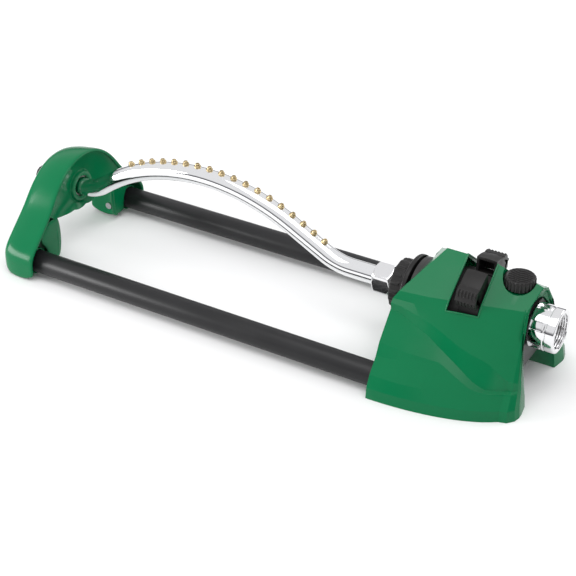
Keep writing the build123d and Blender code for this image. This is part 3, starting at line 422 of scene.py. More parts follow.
# Moulded sockets grip the rails inside the legs and behind the housing's front wall.
def ring_skin(name, angles, rings, at, axis, material, closed=False):
    """A skin over rings about an axis. A ring is a distance along it, and a radius or one for each angle."""
    points = []
    for along, radii in rings:
        for number, angle in enumerate(angles):
            radius = radii[number] if isinstance(radii, (list, tuple)) else radii
            side, up = radius * sin(radians(angle)), radius * cos(radians(angle))
            points.append((along, at[0] + side, at[1] + up) if axis == "X"
                          else (at[0] + side, at[1] + up, along))
    turn = len(angles)
    faces = []
    for ring in range(len(rings) if closed else len(rings) - 1):
        after = (ring + 1) % len(rings)
        for spot in range(turn):
            beside = (spot + 1) % turn
            faces.append((ring * turn + spot, ring * turn + beside, after * turn + beside,
                          after * turn + spot))
    return build(name, points, faces, material)


circle_48 = [7.5 * step for step in range(48)]
rail_y, rail_z = 63.75, 12.0
for name, y, start, end in (("stand_socket_right", -rail_y, -213.5, -194),
                            ("stand_socket_left", rail_y, -213.5, -194),
                            ("housing_socket_right", -rail_y, 124, 138),
                            ("housing_socket_left", rail_y, 124, 138)):
    socket = ring_skin(name, circle_48, (
        (start, 9.6), (start, 10.5), (start + 0.5, 10.9), (end - 0.5, 10.9), (end, 10.6), (end, 10.0),
        (end - 0.8, 9.6)), (y, rail_z), "X", green_gloss, closed=True)
    soften(socket, 0.25, 2)
    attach(socket, "base_frame")

# A dished wall closes the hood behind its rim, down to a boss round the tube's end.
# Its outer edge, as angles from straight up and radii, follows the hood and the arch.
axis_z = 53.2
boss_radius = 14.2
dish_rim = ((0, 30.6), (20, 31.2), (38.6, 32.8), (57.8, 35.6), (76.4, 40.2), (90.7, 45.5), (99, 48.4),
            (105, 44.0), (115, 32.5), (133.5, 22), (180, 16.5))


def along_line(line, x, item=1):
    """The value of a run of straight pieces at x."""
    for before, after in zip(line, line[1:]):
        if x <= after[0]:
            break
    share = (x - before[0]) / (after[0] - before[0])
    return before[item] + (after[item] - before[item]) * share


def dish_radii(share):
    """Radii of the dished wall: share 1 at the hood's rim, 0 at the boss."""
    return [boss_radius + (along_line(dish_rim, min(angle, 360 - angle)) - boss_radius) * share
            for angle in circle_48]


hood_dish = ring_skin("hood_dish", circle_48, (
    (-190.8, dish_radii(1)), (-192.6, dish_radii(0.66)), (-194.4, dish_radii(0.33)), (-195.8, dish_radii(0)),
    (-195.4, 13.5), (-193.3, 12.8), (-192.8, 12.2), (-192.8, 9.8), (-193.3, 9.1), (-196.6, 8.7),
    (-197.4, 9.0), (-197.4, dish_radii(0.03)), (-196.0, dish_radii(0.33)), (-194.2, dish_radii(0.66)),
    (-192.5, dish_radii(1))), (0, axis_z), "X", green_gloss, closed=True)
soften(hood_dish, 0.3, 2, 40)
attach(hood_dish, "base_frame")


# ---------------------------------------------------------------- spray tube
# Steel tube, 15 mm across, bent into a long arch, polished and chrome plated. Eighteen brass jets are
# pressed into one row along its crown.
def plated_metal(name, colour, low_gloss, high_gloss, ripple):
    """Bright plating: mirror smooth, with faint polishing haze, dried water marks and a slight ripple."""
    material = bpy.data.materials.new(name)
    material.use_nodes = True
    tree = material.node_tree
    tree.nodes.clear()
    place = tree.nodes.new("ShaderNodeTexCoord")
    place.label = "place on the piece"
    haze = tree.nodes.new("ShaderNodeTexNoise")
    haze.label = "polishing haze"
    haze.inputs["Scale"].default_value = 70
    haze.inputs["Detail"].default_value = 5
    haze_gloss = tree.nodes.new("ShaderNodeMapRange")
    haze_gloss.label = "haze to roughness"
    haze_gloss.inputs["From Min"].default_value = 0.35
    haze_gloss.inputs["From Max"].default_value = 0.75
    haze_gloss.inputs["To Min"].default_value = low_gloss
    haze_gloss.inputs["To Max"].default_value = high_gloss
    spots = tree.nodes.new("ShaderNodeTexVoronoi")
    spots.label = "dried water marks"
    spots.inputs["Scale"].default_value = 210
    spot_tint = tree.nodes.new("ShaderNodeValToRGB")
    spot_tint.label = "marks dull the plate a little"
    spot_tint.color_ramp.elements[0].position = 0.04
    spot_tint.color_ramp.elements[0].color = (*[c * 0.94 for c in colour], 1)
    spot_tint.color_ramp.elements[1].position = 0.11
    spot_tint.color_ramp.elements[1].color = (*colour, 1)
    wave = tree.nodes.new("ShaderNodeTexNoise")
    wave.label = "draw ripple"
    wave.inputs["Scale"].default_value = 90
    wave.inputs["Detail"].default_value = 1
    wave_bump = tree.nodes.new("ShaderNodeBump")
    wave_bump.label = "ripple height"
    wave_bump.inputs["Strength"].default_value = ripple
    wave_bump.inputs["Distance"].default_value = 0.0003
    shader = tree.nodes.new("ShaderNodeBsdfPrincipled")
    shader.label = "plate"
    shader.inputs["Metallic"].default_value = 1.0
    out = tree.nodes.new("ShaderNodeOutputMaterial")
    out.label = "surface"
    mark_frame = tree.nodes.new("NodeFrame")
    mark_frame.label = "haze and water marks"
    ripple_frame = tree.nodes.new("NodeFrame")
    ripple_frame.label = "ripple"
    for node in (haze, haze_gloss, spots, spot_tint):
        node.parent = mark_frame
    for node in (wave, wave_bump):
        node.parent = ripple_frame
    for node, spot in zip((place, haze, haze_gloss, spots, spot_tint, wave, wave_bump, shader, out),
                          ((0, 0), (220, 60), (440, 60), (220, 320), (440, 320), (220, -220), (440, -220),
                           (760, 60), (1040, 60))):
        node.location = spot
    tree.links.new(place.outputs["Object"], haze.inputs["Vector"])
    tree.links.new(haze.outputs["Fac"], haze_gloss.inputs["Value"])
    tree.links.new(place.outputs["Object"], spots.inputs["Vector"])
    tree.links.new(spots.outputs["Distance"], spot_tint.inputs["Fac"])
    tree.links.new(place.outputs["Object"], wave.inputs["Vector"])
    tree.links.new(wave.outputs["Fac"], wave_bump.inputs["Height"])
    tree.links.new(spot_tint.outputs["Color"], shader.inputs["Base Color"])
    tree.links.new(haze_gloss.outputs["Result"], shader.inputs["Roughness"])
    tree.links.new(wave_bump.outputs["Normal"], shader.inputs["Normal"])
    tree.links.new(shader.outputs["BSDF"], out.inputs["Surface"])
    return material


tube_chrome = plated_metal("tube_chrome", (0.86, 0.865, 0.875), 0.035, 0.10, 0.05)
rise_angle, fall_angle = radians(36.5), radians(28.2)
rise_radius, crest_radius, fall_radius, rise_straight = 34.5, 167.0, 50.0, 5.0
rise_height = (rise_radius + crest_radius) * (1 - cos(rise_angle)) + rise_straight * sin(rise_angle)
fall_straight = (rise_height - (fall_radius + crest_radius) * (1 - cos(fall_angle))) / sin(fall_angle)
# The bends in order: (length of a straight run, 0) or (radius of a bend, its turn, upwards positive).
tube_runs = ((4.0, 0), (rise_radius, rise_angle), (rise_straight, 0),
             (crest_radius, -rise_angle - fall_angle), (fall_straight, 0), (fall_radius, fall_angle),
             (37.0, 0))
tube_radius = 7.5
tube_start_x = -194.5
knots = []
x, z, heading = tube_start_x, axis_z, 0.0
for size, turn in tube_runs:
    length = size * abs(turn) if turn else size
    reach = size * 4 / 3 * tan(abs(turn) / 4) if turn else size / 3
    knots.append([x, z, heading, length, size, turn, reach])
    if turn:
        chord = 2 * size * sin(abs(turn) / 2)
        x += chord * cos(heading + turn / 2)
        z += chord * sin(heading + turn / 2)
        heading += turn
    else:
        x += size * cos(heading)
        z += size * sin(heading)
knots.append([x, z, heading, 0, 0, 0, 1])
tube_line = bpy.data.curves.new("spray_tube_arch", "CURVE")
tube_line.dimensions = "3D"
tube_line.bevel_depth = tube_radius / 1000
tube_line.bevel_resolution = 10
tube_line.resolution_u = 24
tube_line.use_fill_caps = True
tube_line.materials.append(tube_chrome)
arch = tube_line.splines.new("BEZIER")
arch.bezier_points.add(len(knots) - 1)
for number, (point, knot) in enumerate(zip(arch.bezier_points, knots)):
    x, z, heading = knot[:3]
    before = knots[number - 1][6] if number else 1
    point.co = (x / 1000, 0, z / 1000)
    point.handle_left_type = point.handle_right_type = "FREE"
    point.handle_left = ((x - before * cos(heading)) / 1000, 0, (z - before * sin(heading)) / 1000)
    point.handle_right = ((x + knot[6] * cos(heading)) / 1000, 0, (z + knot[6] * sin(heading)) / 1000)
spray_arch = bpy.data.objects.new("spray_tube_arch", tube_line)
scene.collection.objects.link(spray_arch)
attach(spray_arch, "spray_bar")
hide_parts("spray_tube")


# Each jet is turned from brass: a flange that sits on the tube, a groove, and a domed tip with a bore.
def turned_brass(name, colour):
    """Turned brass: fine rings from the tool, darker where it has tarnished."""
    material = bpy.data.materials.new(name)
    material.use_nodes = True
    tree = material.node_tree
    tree.nodes.clear()
    place = tree.nodes.new("ShaderNodeTexCoord")
    place.label = "place on the piece"
    tarnish = tree.nodes.new("ShaderNodeTexNoise")
    tarnish.label = "tarnish"
    tarnish.inputs["Scale"].default_value = 260
    tarnish.inputs["Detail"].default_value = 4
    tint = tree.nodes.new("ShaderNodeValToRGB")
    tint.label = "bright to tarnished"
    tint.color_ramp.elements[0].position = 0.35
    tint.color_ramp.elements[0].color = (*colour, 1)
    tint.color_ramp.elements[1].position = 0.7
    tint.color_ramp.elements[1].color = (*[c * 0.62 for c in colour], 1)
    dull = tree.nodes.new("ShaderNodeMapRange")
    dull.label = "tarnish is duller"
    dull.inputs["To Min"].default_value = 0.16
    dull.inputs["To Max"].default_value = 0.42
    rings = tree.nodes.new("ShaderNodeTexWave")
    rings.label = "tool rings"
    rings.bands_direction = "Z"
    rings.inputs["Scale"].default_value = 900
    ring_bump = tree.nodes.new("ShaderNodeBump")
    ring_bump.label = "ring height"
    ring_bump.inputs["Strength"].default_value = 0.08
    ring_bump.inputs["Distance"].default_value = 0.00005
    shader = tree.nodes.new("ShaderNodeBsdfPrincipled")
    shader.label = "brass"
    shader.inputs["Metallic"].default_value = 1.0
    out = tree.nodes.new("ShaderNodeOutputMaterial")
    out.label = "surface"
    tarnish_frame = tree.nodes.new("NodeFrame")
    tarnish_frame.label = "tarnish"
    turning_frame = tree.nodes.new("NodeFrame")
    turning_frame.label = "turning marks"
    for node in (tarnish, tint, dull):
        node.parent = tarnish_frame
    for node in (rings, ring_bump):
        node.parent = turning_frame
    for node, spot in zip((place, tarnish, tint, dull, rings, ring_bump, shader, out),
                          ((0, 0), (220, 160), (440, 260), (440, 20), (220, -260), (440, -260), (760, 60),
                           (1040, 60))):
        node.location = spot
    tree.links.new(place.outputs["Object"], tarnish.inputs["Vector"])
    tree.links.new(tarnish.outputs["Fac"], tint.inputs["Fac"])
    tree.links.new(tarnish.outputs["Fac"], dull.inputs["Value"])
    tree.links.new(place.outputs["Object"], rings.inputs["Vector"])
    tree.links.new(rings.outputs["Fac"], ring_bump.inputs["Height"])
    tree.links.new(tint.outputs["Color"], shader.inputs["Base Color"])
    tree.links.new(dull.outputs["Result"], shader.inputs["Roughness"])
    tree.links.new(ring_bump.outputs["Normal"], shader.inputs["Normal"])
    tree.links.new(shader.outputs["BSDF"], out.inputs["Surface"])
    return material


jet_brass = turned_brass("jet_brass", (0.56, 0.44, 0.25))
jet_profile = ((0.6, 0.5), (0.6, 2.95), (1.0, 3.1), (1.5, 2.95), (1.85, 2.45), (2.0, 1.7), (2.1, 1.25),
               (2.5, 1.15), (2.7, 0.9), (2.75, 0.3), (2.6, -0.5), (1.2, -0.5))
jet_points = []
jet_faces = []
jet_sides = 20
first_jet, jet_pitch = 65.5, 10.8
for number in range(18):
    left = first_jet + jet_pitch * number
    for x, z, heading, length, size, turn, reach in knots:
        if left <= length:
            break
        left -= length
    if turn:
        swept = turn * left / length
        chord = 2 * size * sin(abs(swept) / 2)
        x, z = x + chord * cos(heading + swept / 2), z + chord * sin(heading + swept / 2)
        heading += swept
    else:
        x, z = x + left * cos(heading), z + left * sin(heading)
    first = len(jet_points)
    for radius, height in jet_profile:
        for side in range(jet_sides):
            angle = 2 * pi * side / jet_sides
            forward, sideways = radius * cos(angle), radius * sin(angle)
            out_by = tube_radius + height
            jet_points.append((x + forward * cos(heading) - out_by * sin(heading), sideways,
                               z + forward * sin(heading) + out_by * cos(heading)))
    for ring in range(len(jet_profile) - 1):
        for side in range(jet_sides):
            beside = (side + 1) % jet_sides
            corner = first + ring * jet_sides
            jet_faces.append((corner + side, corner + beside, corner + jet_sides + beside,
                              corner + jet_sides + side))
    jet_faces.append(tuple(range(first, first + jet_sides)))
    last = first + (len(jet_profile) - 1) * jet_sides
    jet_faces.append(tuple(range(last, last + jet_sides)))
jet_row = build("jet_row", jet_points, jet_faces, jet_brass)
soften(jet_row, 0.08, 2, 50)
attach(jet_row, "spray_bar")
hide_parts("brass_nozzles")

# ---------------------------------------------------------------- end plug
# The far end of the tube turns in a bush. Its plug ends in a fluted black knob behind the hood, whose
# pin cleans the jets.
black_plastic = moulded_plastic("black_plastic", (0.0115, 0.0105, 0.0105), 0.34, 0.30, 0.35, 0.08, 0.2)
flute_angles = []
for flute in range(12):
    flute_angles += [30 * flute + offset for offset in (0, 3, 7, 12, 18, 23, 27)]


def fluted(radius, depth, angles, count):
    """Radii round a grip with count shallow flutes."""
    pitch = 360 / count
    return [radius - depth * max(0.0, 1 - (abs((angle + pitch / 2) % pitch - pitch / 2) / (pitch * 0.3)) ** 2)
            for angle in angles]


cleaning_knob = ring_skin("cleaning_knob", flute_angles, (
    (-238, 0), (-238, 3.2), (-237.4, 3.4), (-237.4, 4.6), (-238, 4.8), (-238, 6.2),
    (-237.4, fluted(7.0, 0.7, flute_angles, 12)), (-236.2, fluted(7.5, 0.9, flute_angles, 12)),
    (-226.5, fluted(7.5, 0.9, flute_angles, 12)), (-225.2, 7.4), (-224.5, 6.9), (-224.5, 5.0), (-195.4, 5.0),
    (-195.4, 7.3), (-194.6, 7.5), (-194.4, 7.3), (-194.4, 0)), (0, axis_z), "X", black_plastic)
soften(cleaning_knob, 0.3, 2, 35)
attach(cleaning_knob, "spray_bar")
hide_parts("end_plug")

# ---------------------------------------------------------------- coupling nut
# A chromed brass hexagon nut with turned chamfers draws the tube into the hub.
fitting_chrome = plated_metal("fitting_chrome", (0.84, 0.84, 0.85), 0.04, 0.13, 0.03)
hex_angles = [5 * step for step in range(72)]


def hexagon(limit):
    """Radii round a 27 mm hexagon, turned down to limit."""
    return [min(11.7 / cos(radians((angle % 60) - 30)), limit) for angle in hex_angles]


nut_rings = ((88.9, 7.7), (88.9, 10.9), (89.5, 11.55), (90.2, hexagon(12.3)), (90.9, hexagon(13.0)),
             (91.8, hexagon(13.35)), (102.2, hexagon(13.35)), (103.1, hexagon(13.0)), (103.8, hexagon(12.3)),
             (104.5, 11.55), (105.1, 10.9), (105.1, 10.3), (92.0, 10.3), (91.0, 7.7))
tube_nut = ring_skin("tube_nut", hex_angles, nut_rings, (0, axis_z), "X", fitting_chrome, closed=True)
soften(tube_nut, 0.35, 3, 24)
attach(tube_nut, "spray_bar")
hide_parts("coupling_nut")

# ---------------------------------------------------------------- output hub
# A black moulded hub: a collar with grip ribs, a flange that shields the gear case, and an arm whose
# finger reaches back under the case to trip the reversing ring.
rib_angles = [360 / 144 * step for step in range(144)]


def ribbed(radius, height, count):
    """Radii round a collar with count raised ribs."""
    pitch = 360 / count
    return [radius + height * (1 if abs((angle + pitch / 2) % pitch - pitch / 2) < pitch * 0.22 else 0)
            for angle in rib_angles]


hub_rings = ((94.5, 7.6), (94.5, 10.1), (106.6, 10.1), (106.6, 14), (107.0, 18.0),
             (107.7, ribbed(18.9, 0.5, 18)), (108.6, ribbed(19.3, 0.7, 18)), (114.6, ribbed(19.3, 0.7, 18)),
             (115.4, 19.3), (118.7, 19.3), (119.0, 21.0), (119.0, 22.2), (119.5, 22.6), (119.5, 23.8),
             (119.0, 24.2), (119.2, 25.4), (119.9, 26.0), (122.2, 26.0), (122.8, 25.7), (123.0, 25.0),
             (123.0, 6.1), (137.5, 6.0), (137.5, 3.9), (104.4, 3.9), (104.2, 7.6))
drive_hub = ring_skin("drive_hub", rib_angles, hub_rings, (0, axis_z), "X", black_plastic, closed=True)
soften(drive_hub, 0.3, 2, 35)
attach(drive_hub, "spray_bar")
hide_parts("output_hub")


def block(points, faces, low, high):
    """Adds a box between two corners to a list of points and faces."""
    first = len(points)
    for x in (low[0], high[0]):
        for y in (low[1], high[1]):
            for z in (low[2], high[2]):
                points.append((x, y, z))
    for face in ((0, 1, 3, 2), (4, 6, 7, 5), (0, 4, 5, 1), (2, 3, 7, 6), (0, 2, 6, 4), (1, 5, 7, 3)):
        faces.append(tuple(first + corner for corner in face))


finger_points, finger_faces = [], []
finger_half, finger_foot = 2.5, axis_z - 30.5
block(finger_points, finger_faces, (120.5, -finger_half, finger_foot), (178, finger_half, axis_z - 27.9))
block(finger_points, finger_faces, (119.1, -finger_half, finger_foot), (122.9, finger_half, axis_z - 22))
trip_finger = build("trip_finger", finger_points, finger_faces, black_plastic)
soften(trip_finger, 0.5, 3)
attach(trip_finger, "spray_bar")


# ---------------------------------------------------------------- range tabs
# Two black tabs clip round the trip ring and stand up through the slot. The user slides their ribbed
# thumb pieces to set how far the tube swings each way.
def curved_block(points, faces, inner, outer, from_angle, to_angle, x_low, x_high, crown=0.0):
    """Adds a block bent round the swing axis, angles from straight up towards the near side."""
    first = len(points)
    steps = max(1, round(abs(to_angle - from_angle) / 5))
    for step in range(steps + 1):
        angle = radians(from_angle + (to_angle - from_angle) * step / steps)
        for x, radius in ((x_low, inner), (x_low, outer), ((x_low + x_high) / 2, outer + crown),
                          (x_high, outer), (x_high, inner)):
            points.append((x, -radius * sin(angle), axis_z + radius * cos(angle)))
    for step in range(steps):
        corner = first + 5 * step
        for side in range(5):
            beside = (side + 1) % 5
            faces.append((corner + side, corner + beside, corner + 5 + beside, corner + 5 + side))
    faces.append(tuple(first + side for side in range(5)))
    last = first + 5 * steps
    faces.append(tuple(last + side for side in range(5)))


def thumb_block(points, faces, outline, x_low, x_high):
    """Adds a block of one outline, given as radii and angles about the swing axis."""
    first = len(points)
    for x in (x_low, x_high):
        for radius, angle in outline:
            points.append((x, -radius * sin(radians(angle)), axis_z + radius * cos(radians(angle))))
    count = len(outline)
    for spot in range(count):
        beside = (spot + 1) % count
        faces.append((first + spot, first + beside, first + count + beside, first + count + spot))
    faces.append(tuple(range(first, first + count)))
    faces.append(tuple(range(first + count, first + 2 * count)))


# A thumb piece's outline and one of its ribs: radius, and degrees past the tab's edge.
thumb = ((29.2, 0), (34.0, 4.4), (35.4, 4.2), (38.6, -0.8), (42.4, -8.0), (42.8, -12), (41.2, -17), (39, -17),
         (36, -8), (29.2, -5))
thumb_rib = ((33.6, 2.5), (34.9, 5.0), (36.2, 4.2), (39.3, 0.1), (43.0, -7.6), (43.3, -11.5), (41, -11))
tab_front, tab_back = 167.5, 183.5
tab_span = 37
lug_start, lug_end = 45, 51
for name, node_name, body, side, edge in (("near_thumb_tab", "near_tab", "near_range_tab", 1, 56.0),
                                          ("far_thumb_tab", "far_tab", "far_range_tab", -1, -40.0)):
    points, faces = [], []
    inner_end, outer_end = edge - side * tab_span, edge + side * lug_end
    curved_block(points, faces, 27.5, 29.0, inner_end, outer_end, tab_front, tab_back)
    curved_block(points, faces, 28.8, 30.8, edge + side * lug_start, outer_end, tab_front, tab_back)
    curved_block(points, faces, 38.6, 40.7, inner_end, edge, tab_front, tab_back, 0.5)
    for web_x in (tab_front + 0.1, tab_back - 2.0):
        curved_block(points, faces, 28.2, 39.4, inner_end + side * 0.4, edge - side, web_x, web_x + 1.9)
    # The thumb piece ends in a near upright face with six ribs.
    thumb_block(points, faces, [(radius, edge + side * turn) for radius, turn in thumb],
                tab_front + 0.1, tab_back - 0.1)
    for number in range(6):
        rib_x = tab_front + 0.9 + 2.6 * number
        thumb_block(points, faces, [(radius, edge + side * turn) for radius, turn in thumb_rib],
                    rib_x, rib_x + 1.3)
    thumb_tab = build(name, points, faces, black_plastic)
    soften(thumb_tab, 0.45, 3)
    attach(thumb_tab, body)
    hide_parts(node_name)

# ---------------------------------------------------------------- housing
# The drive housing is one glossy green moulding: a roofed shell with a slot for the tabs, a round well
# for the flow knob, shallow facets on its sides, and an arch at the hose end between two rear legs.
foot_fall, foot_power, foot_round = 113.6, 1.874, 3.583
housing_front = 122
columns = (122, 130, 138, 146, 154, 162, 168, 173, 179, 185, 189, 193.67, 198.33, 203, 207.67, 212.33, 217)
eave_line = ((122, 36.4, 71.0), (145, 33, 71.0), (176, 26.7, 71.5), (203, 22, 73.3), (217, 19.5, 74),
             (229, 19.2, 74))
ridge_line = ((145, 95), (176, 95), (203, 90), (217, 86.5), (229, 83.6))
shoulder_in = ((122, 5.5), (145, 4.6), (176, 6.4), (203, 8.0), (217, 7.4), (229, 5.0))
slot_front, slot_back = 162, 185
# Two sunk facets on each side: a band that falls to the hose end, and a wedge that runs out of the front.
band_top = ((122, 63.5), (132, 62.5), (157, 56), (181, 45.5), (201, 39.5), (220, 27), (229, 25))
band_foot = ((122, 58.5), (130, 56.8), (154, 48), (180, 34), (195, 24.5), (204, 20.4), (229, 20.4))
wedge_top = ((122, 38.5), (169, 34.8), (195, 21.6), (204, 19.4), (229, 19.4))
wedge_foot = ((122, 29.0), (169, 34.0), (195, 19.8), (204, 18.6), (229, 18.6))
well_x, well_radius, well_floor = 203.0, 12.6, 80.3
hub_opening = 31.3


def foot_half_width(x):
    """Half the housing's width at the ground: broad in front, rounded in towards the hose end."""
    return 78.5 * (1 - (max(0, x - housing_front) / foot_fall) ** foot_power) ** (1 / foot_round)


def side_point(x, z, proud=0.0):
    """A point of the sloping side at a height, from the shoulder up to the eave."""
    shoulder_y = foot_half_width(x) - along_line(shoulder_in, x)
    eave_y, eave_z = along_line(eave_line, x), along_line(eave_line, x, 2)
    return (x, shoulder_y + (eave_y - shoulder_y) * (z - 18) / (eave_z - 18) + proud, z)


def roof_point(x, share):
    """A point of the roof: share 0 at the eave, 1 at the ridge."""
    eave_y, eave_z = along_line(eave_line, x), along_line(eave_line, x, 2)
    return (x, eave_y * (1 - share), eave_z + (along_line(ridge_line, x) - eave_z) * share)


# Rows of each column, numbered from the foot: the slot's bottom, the eave and the ridge.
slot_row, eave_row, ridge_row = 7, 8, 11
shell_rows = []
for x in columns:
    slot_z = 66 - min(1, (x - housing_front) / 33.25)
    sunk = max(0.0, 1 - (x - housing_front) / 47)
    foot_y = foot_half_width(x)
    column = [(x, foot_y, 0), (x, foot_y - 0.8, 9), side_point(x, 18),
              side_point(x, along_line(wedge_foot, x), -1.3 * sunk),
              side_point(x, along_line(wedge_top, x), 0.6 * sunk),
              side_point(x, along_line(band_foot, x), -2.6), side_point(x, along_line(band_top, x), 1.3),
              side_point(x, slot_z)]
    lead = max(0.0, 1 - (x - housing_front) / 38)
    for share in (0, 1 / 3, 2 / 3, 1):
        roof_x = x + lead * (3 + 20 * share)
        column.append(roof_point(roof_x, share))
    shell_rows.append(column)
# The hose end: a rounded corner, the outline and the arch it frames.
rear_outline = [(228.5, 43, 0), (227.4, 42, 9), (226, 38.6, 18), (225.9, 38.2, 18.8), (225.8, 37.9, 19.8),
                (225.5, 37.4, 21.5), (224.8, 36.2, 26), (219.6, 28.8, 59.5), (217.6, 20.5, 73.6),
                (218.8, 13.4, 77.6), (220, 6.7, 81.3), (221.2, 0, 84.8)]
side_end = shell_rows[-1]
for share in (0.35, 0.7):
    turned = radians(90 * share)
    shell_rows.append([(before[0] + (after[0] - before[0]) * sin(turned),
                        after[1] + (before[1] - after[1]) * cos(turned),
                        before[2] + (after[2] - before[2]) * share)
                       for before, after in zip(side_end, rear_outline)])
shell_rows.append(rear_outline)
shell_rows.append([(228.3, 38.5, 0), (227.2, 38, 9), (225.8, 35.4, 18), (225.7, 35.2, 18.9), (225.6, 35, 20),
                   (225.2, 34.7, 22), (224.2, 33.6, 27),
                   (219.3, 26.9, 59), (217.6, 18.6, 72), (217.8, 12.6, 75.4), (218.1, 6.4, 78.2),
                   (218.6, 0, 80.5)])
shell_rows.append([(226.5, 28.4, 0), (225.6, 28.2, 9), (224.2, 28.2, 18), (224.1, 28.2, 19),
                   (223.9, 28.2, 20.4), (223.6, 28.2, 23), (222.6, 28.2, 29), (218.2, 23.8, 58.6),
                   (216.8, 15.6, 67.8), (216.6, 10.6, 70.5), (216.5, 5.4, 72), (216.4, 0, 72.6)])
leg_wall = [(205, 28.2, z) for z in (0, 9, 18, 19, 20.4, 23, 29)]
shell_points, shell_faces = [], []
well_first, well_last = columns.index(189), columns.index(217)
slot_first, slot_last = columns.index(slot_front), columns.index(slot_back)
for sign in (1, -1):
    grid = []
    for column in shell_rows:
        grid.append([])
        for x, y, z in column:
            grid[-1].append(len(shell_points))
            shell_points.append((x, sign * y, z))
    for column in range(len(grid) - 1):
        for row in range(len(grid[0]) - 1):
            if slot_first <= column < slot_last and row >= slot_row:
                continue
            if well_first <= column < well_last and row >= eave_row:
                continue
            shell_faces.append((grid[column][row], grid[column + 1][row], grid[column + 1][row + 1],
                                grid[column][row + 1]))
    wall_points = []
    for x, y, z in leg_wall:
        wall_points.append(len(shell_points))
        shell_points.append((x, sign * y, z))
    for row in range(len(leg_wall) - 1):
        shell_faces.append((grid[-1][row], wall_points[row], wall_points[row + 1], grid[-1][row + 1]))
    # The roof round the well, its wall and its floor.
    border = [grid[well_first][row] for row in range(ridge_row, eave_row, -1)]
    border += [grid[column][eave_row] for column in range(well_first, well_last + 1)]
    border += [grid[well_last][row] for row in range(eave_row + 1, ridge_row + 1)]
    rim, wall_foot = [], []
    for step in range(len(border)):
        angle = pi * step / (len(border) - 1)
        x, y = well_x - well_radius * cos(angle), well_radius * sin(angle)
        roof_z = roof_point(x, 1 - y / along_line(eave_line, x))[2]
        rim.append(len(shell_points))
        shell_points.append((x, sign * y, roof_z))
        wall_foot.append(len(shell_points))
        shell_points.append((x, sign * y, min(well_floor, roof_z - 0.8)))
    hub_first = len(shell_points)
    for step in range(len(border)):
        angle = pi * step / (len(border) - 1)
        shell_points.append((well_x - 4 * cos(angle), sign * 4 * sin(angle), well_floor - 0.3))
    for step in range(len(border) - 1):
        shell_faces.append((border[step], border[step + 1], rim[step + 1], rim[step]))
        shell_faces.append((rim[step], rim[step + 1], wall_foot[step + 1], wall_foot[step]))
        shell_faces.append((wall_foot[step], wall_foot[step + 1], hub_first + step + 1, hub_first + step))
    # The front wall round the hub's opening, and half of the gable above it.
    outer = [grid[0][row] for row in range(eave_row, -1, -1)]
    middle = len(shell_points)
    shell_points.append((housing_front, sign * 42, 0))
    shell_points.append((housing_front, 0, 0))
    outer += [middle, middle + 1]
    start_angle = acos((along_line(eave_line, housing_front, 2) - axis_z) / hub_opening)
    arc = []
    for step in range(len(outer)):
        angle = start_angle + (pi - start_angle) * step / (len(outer) - 1)
        arc.append(len(shell_points))
        shell_points.append((125 if step == 0 else housing_front, sign * hub_opening * sin(angle),
                             axis_z + hub_opening * cos(angle)))
    for step in range(len(outer) - 1):
        shell_faces.append((outer[step], outer[step + 1], arc[step + 1], arc[step]))
    notch = len(shell_points)
    shell_points.append((129.5, sign * 21, 76.4))
    shell_points.append((129.5, 0, 76.4))
    shell_faces.append((arc[0], *grid[0][eave_row:ridge_row + 1], notch + 1, notch))
drive_shell = build("drive_shell", shell_points, shell_faces, green_gloss)
side_face = max(drive_shell.data.polygons, key=lambda face: face.center.y * face.area)
if side_face.normal.y < 0:
    drive_shell.data.flip_normals()
for edge in drive_shell.data.edges:
    ends = [drive_shell.data.vertices[corner].co * 1000 for corner in edge.vertices]
    for fold_line in (band_top, band_foot):
        if all(end.x < 227 and abs(end.y) > 26 and abs(end.z - along_line(fold_line, end.x)) < 0.05
               for end in ends):
            edge.use_edge_sharp = True
shell_wall = drive_shell.modifiers.new("wall", "SOLIDIFY")
shell_wall.thickness = 0.0024
shell_wall.offset = -1
soften(drive_shell, 0.9, 3, 10.5)
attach(drive_shell, "base_frame")
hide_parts("housing_shell")

# A thin raised bead runs round the slot.
bead_line = bpy.data.curves.new("slot_bead", "CURVE")
bead_line.dimensions = "3D"
bead_line.bevel_depth = 0.0007
bead_line.bevel_resolution = 4
bead_line.materials.append(green_gloss)
bead_path = []
first_side = shell_rows[slot_first][slot_row:]
last_side = shell_rows[slot_last][slot_row:]
bottom = [column[slot_row] for column in shell_rows[slot_first + 1:slot_last]]
for points, sign in ((first_side, 1), (first_side[-2::-1], -1)):
    bead_path += [(x - 0.3, sign * y, z) for x, y, z in points]
bead_path += [(x, -y, z) for x, y, z in bottom]
for points, sign in ((last_side, -1), (last_side[-2::-1], 1)):
    bead_path += [(x + 0.3, sign * y, z) for x, y, z in points]
bead_path += [(x, y, z) for x, y, z in reversed(bottom)]
bead = bead_line.splines.new("POLY")
bead.points.add(len(bead_path) - 1)
bead.use_cyclic_u = True
for point, (x, y, z) in zip(bead.points, bead_path):
    point.co = (x / 1000, y / 1000, z / 1000, 1)
slot_bead = bpy.data.objects.new("slot_bead", bead_line)
scene.collection.objects.link(slot_bead)
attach(slot_bead, "base_frame")

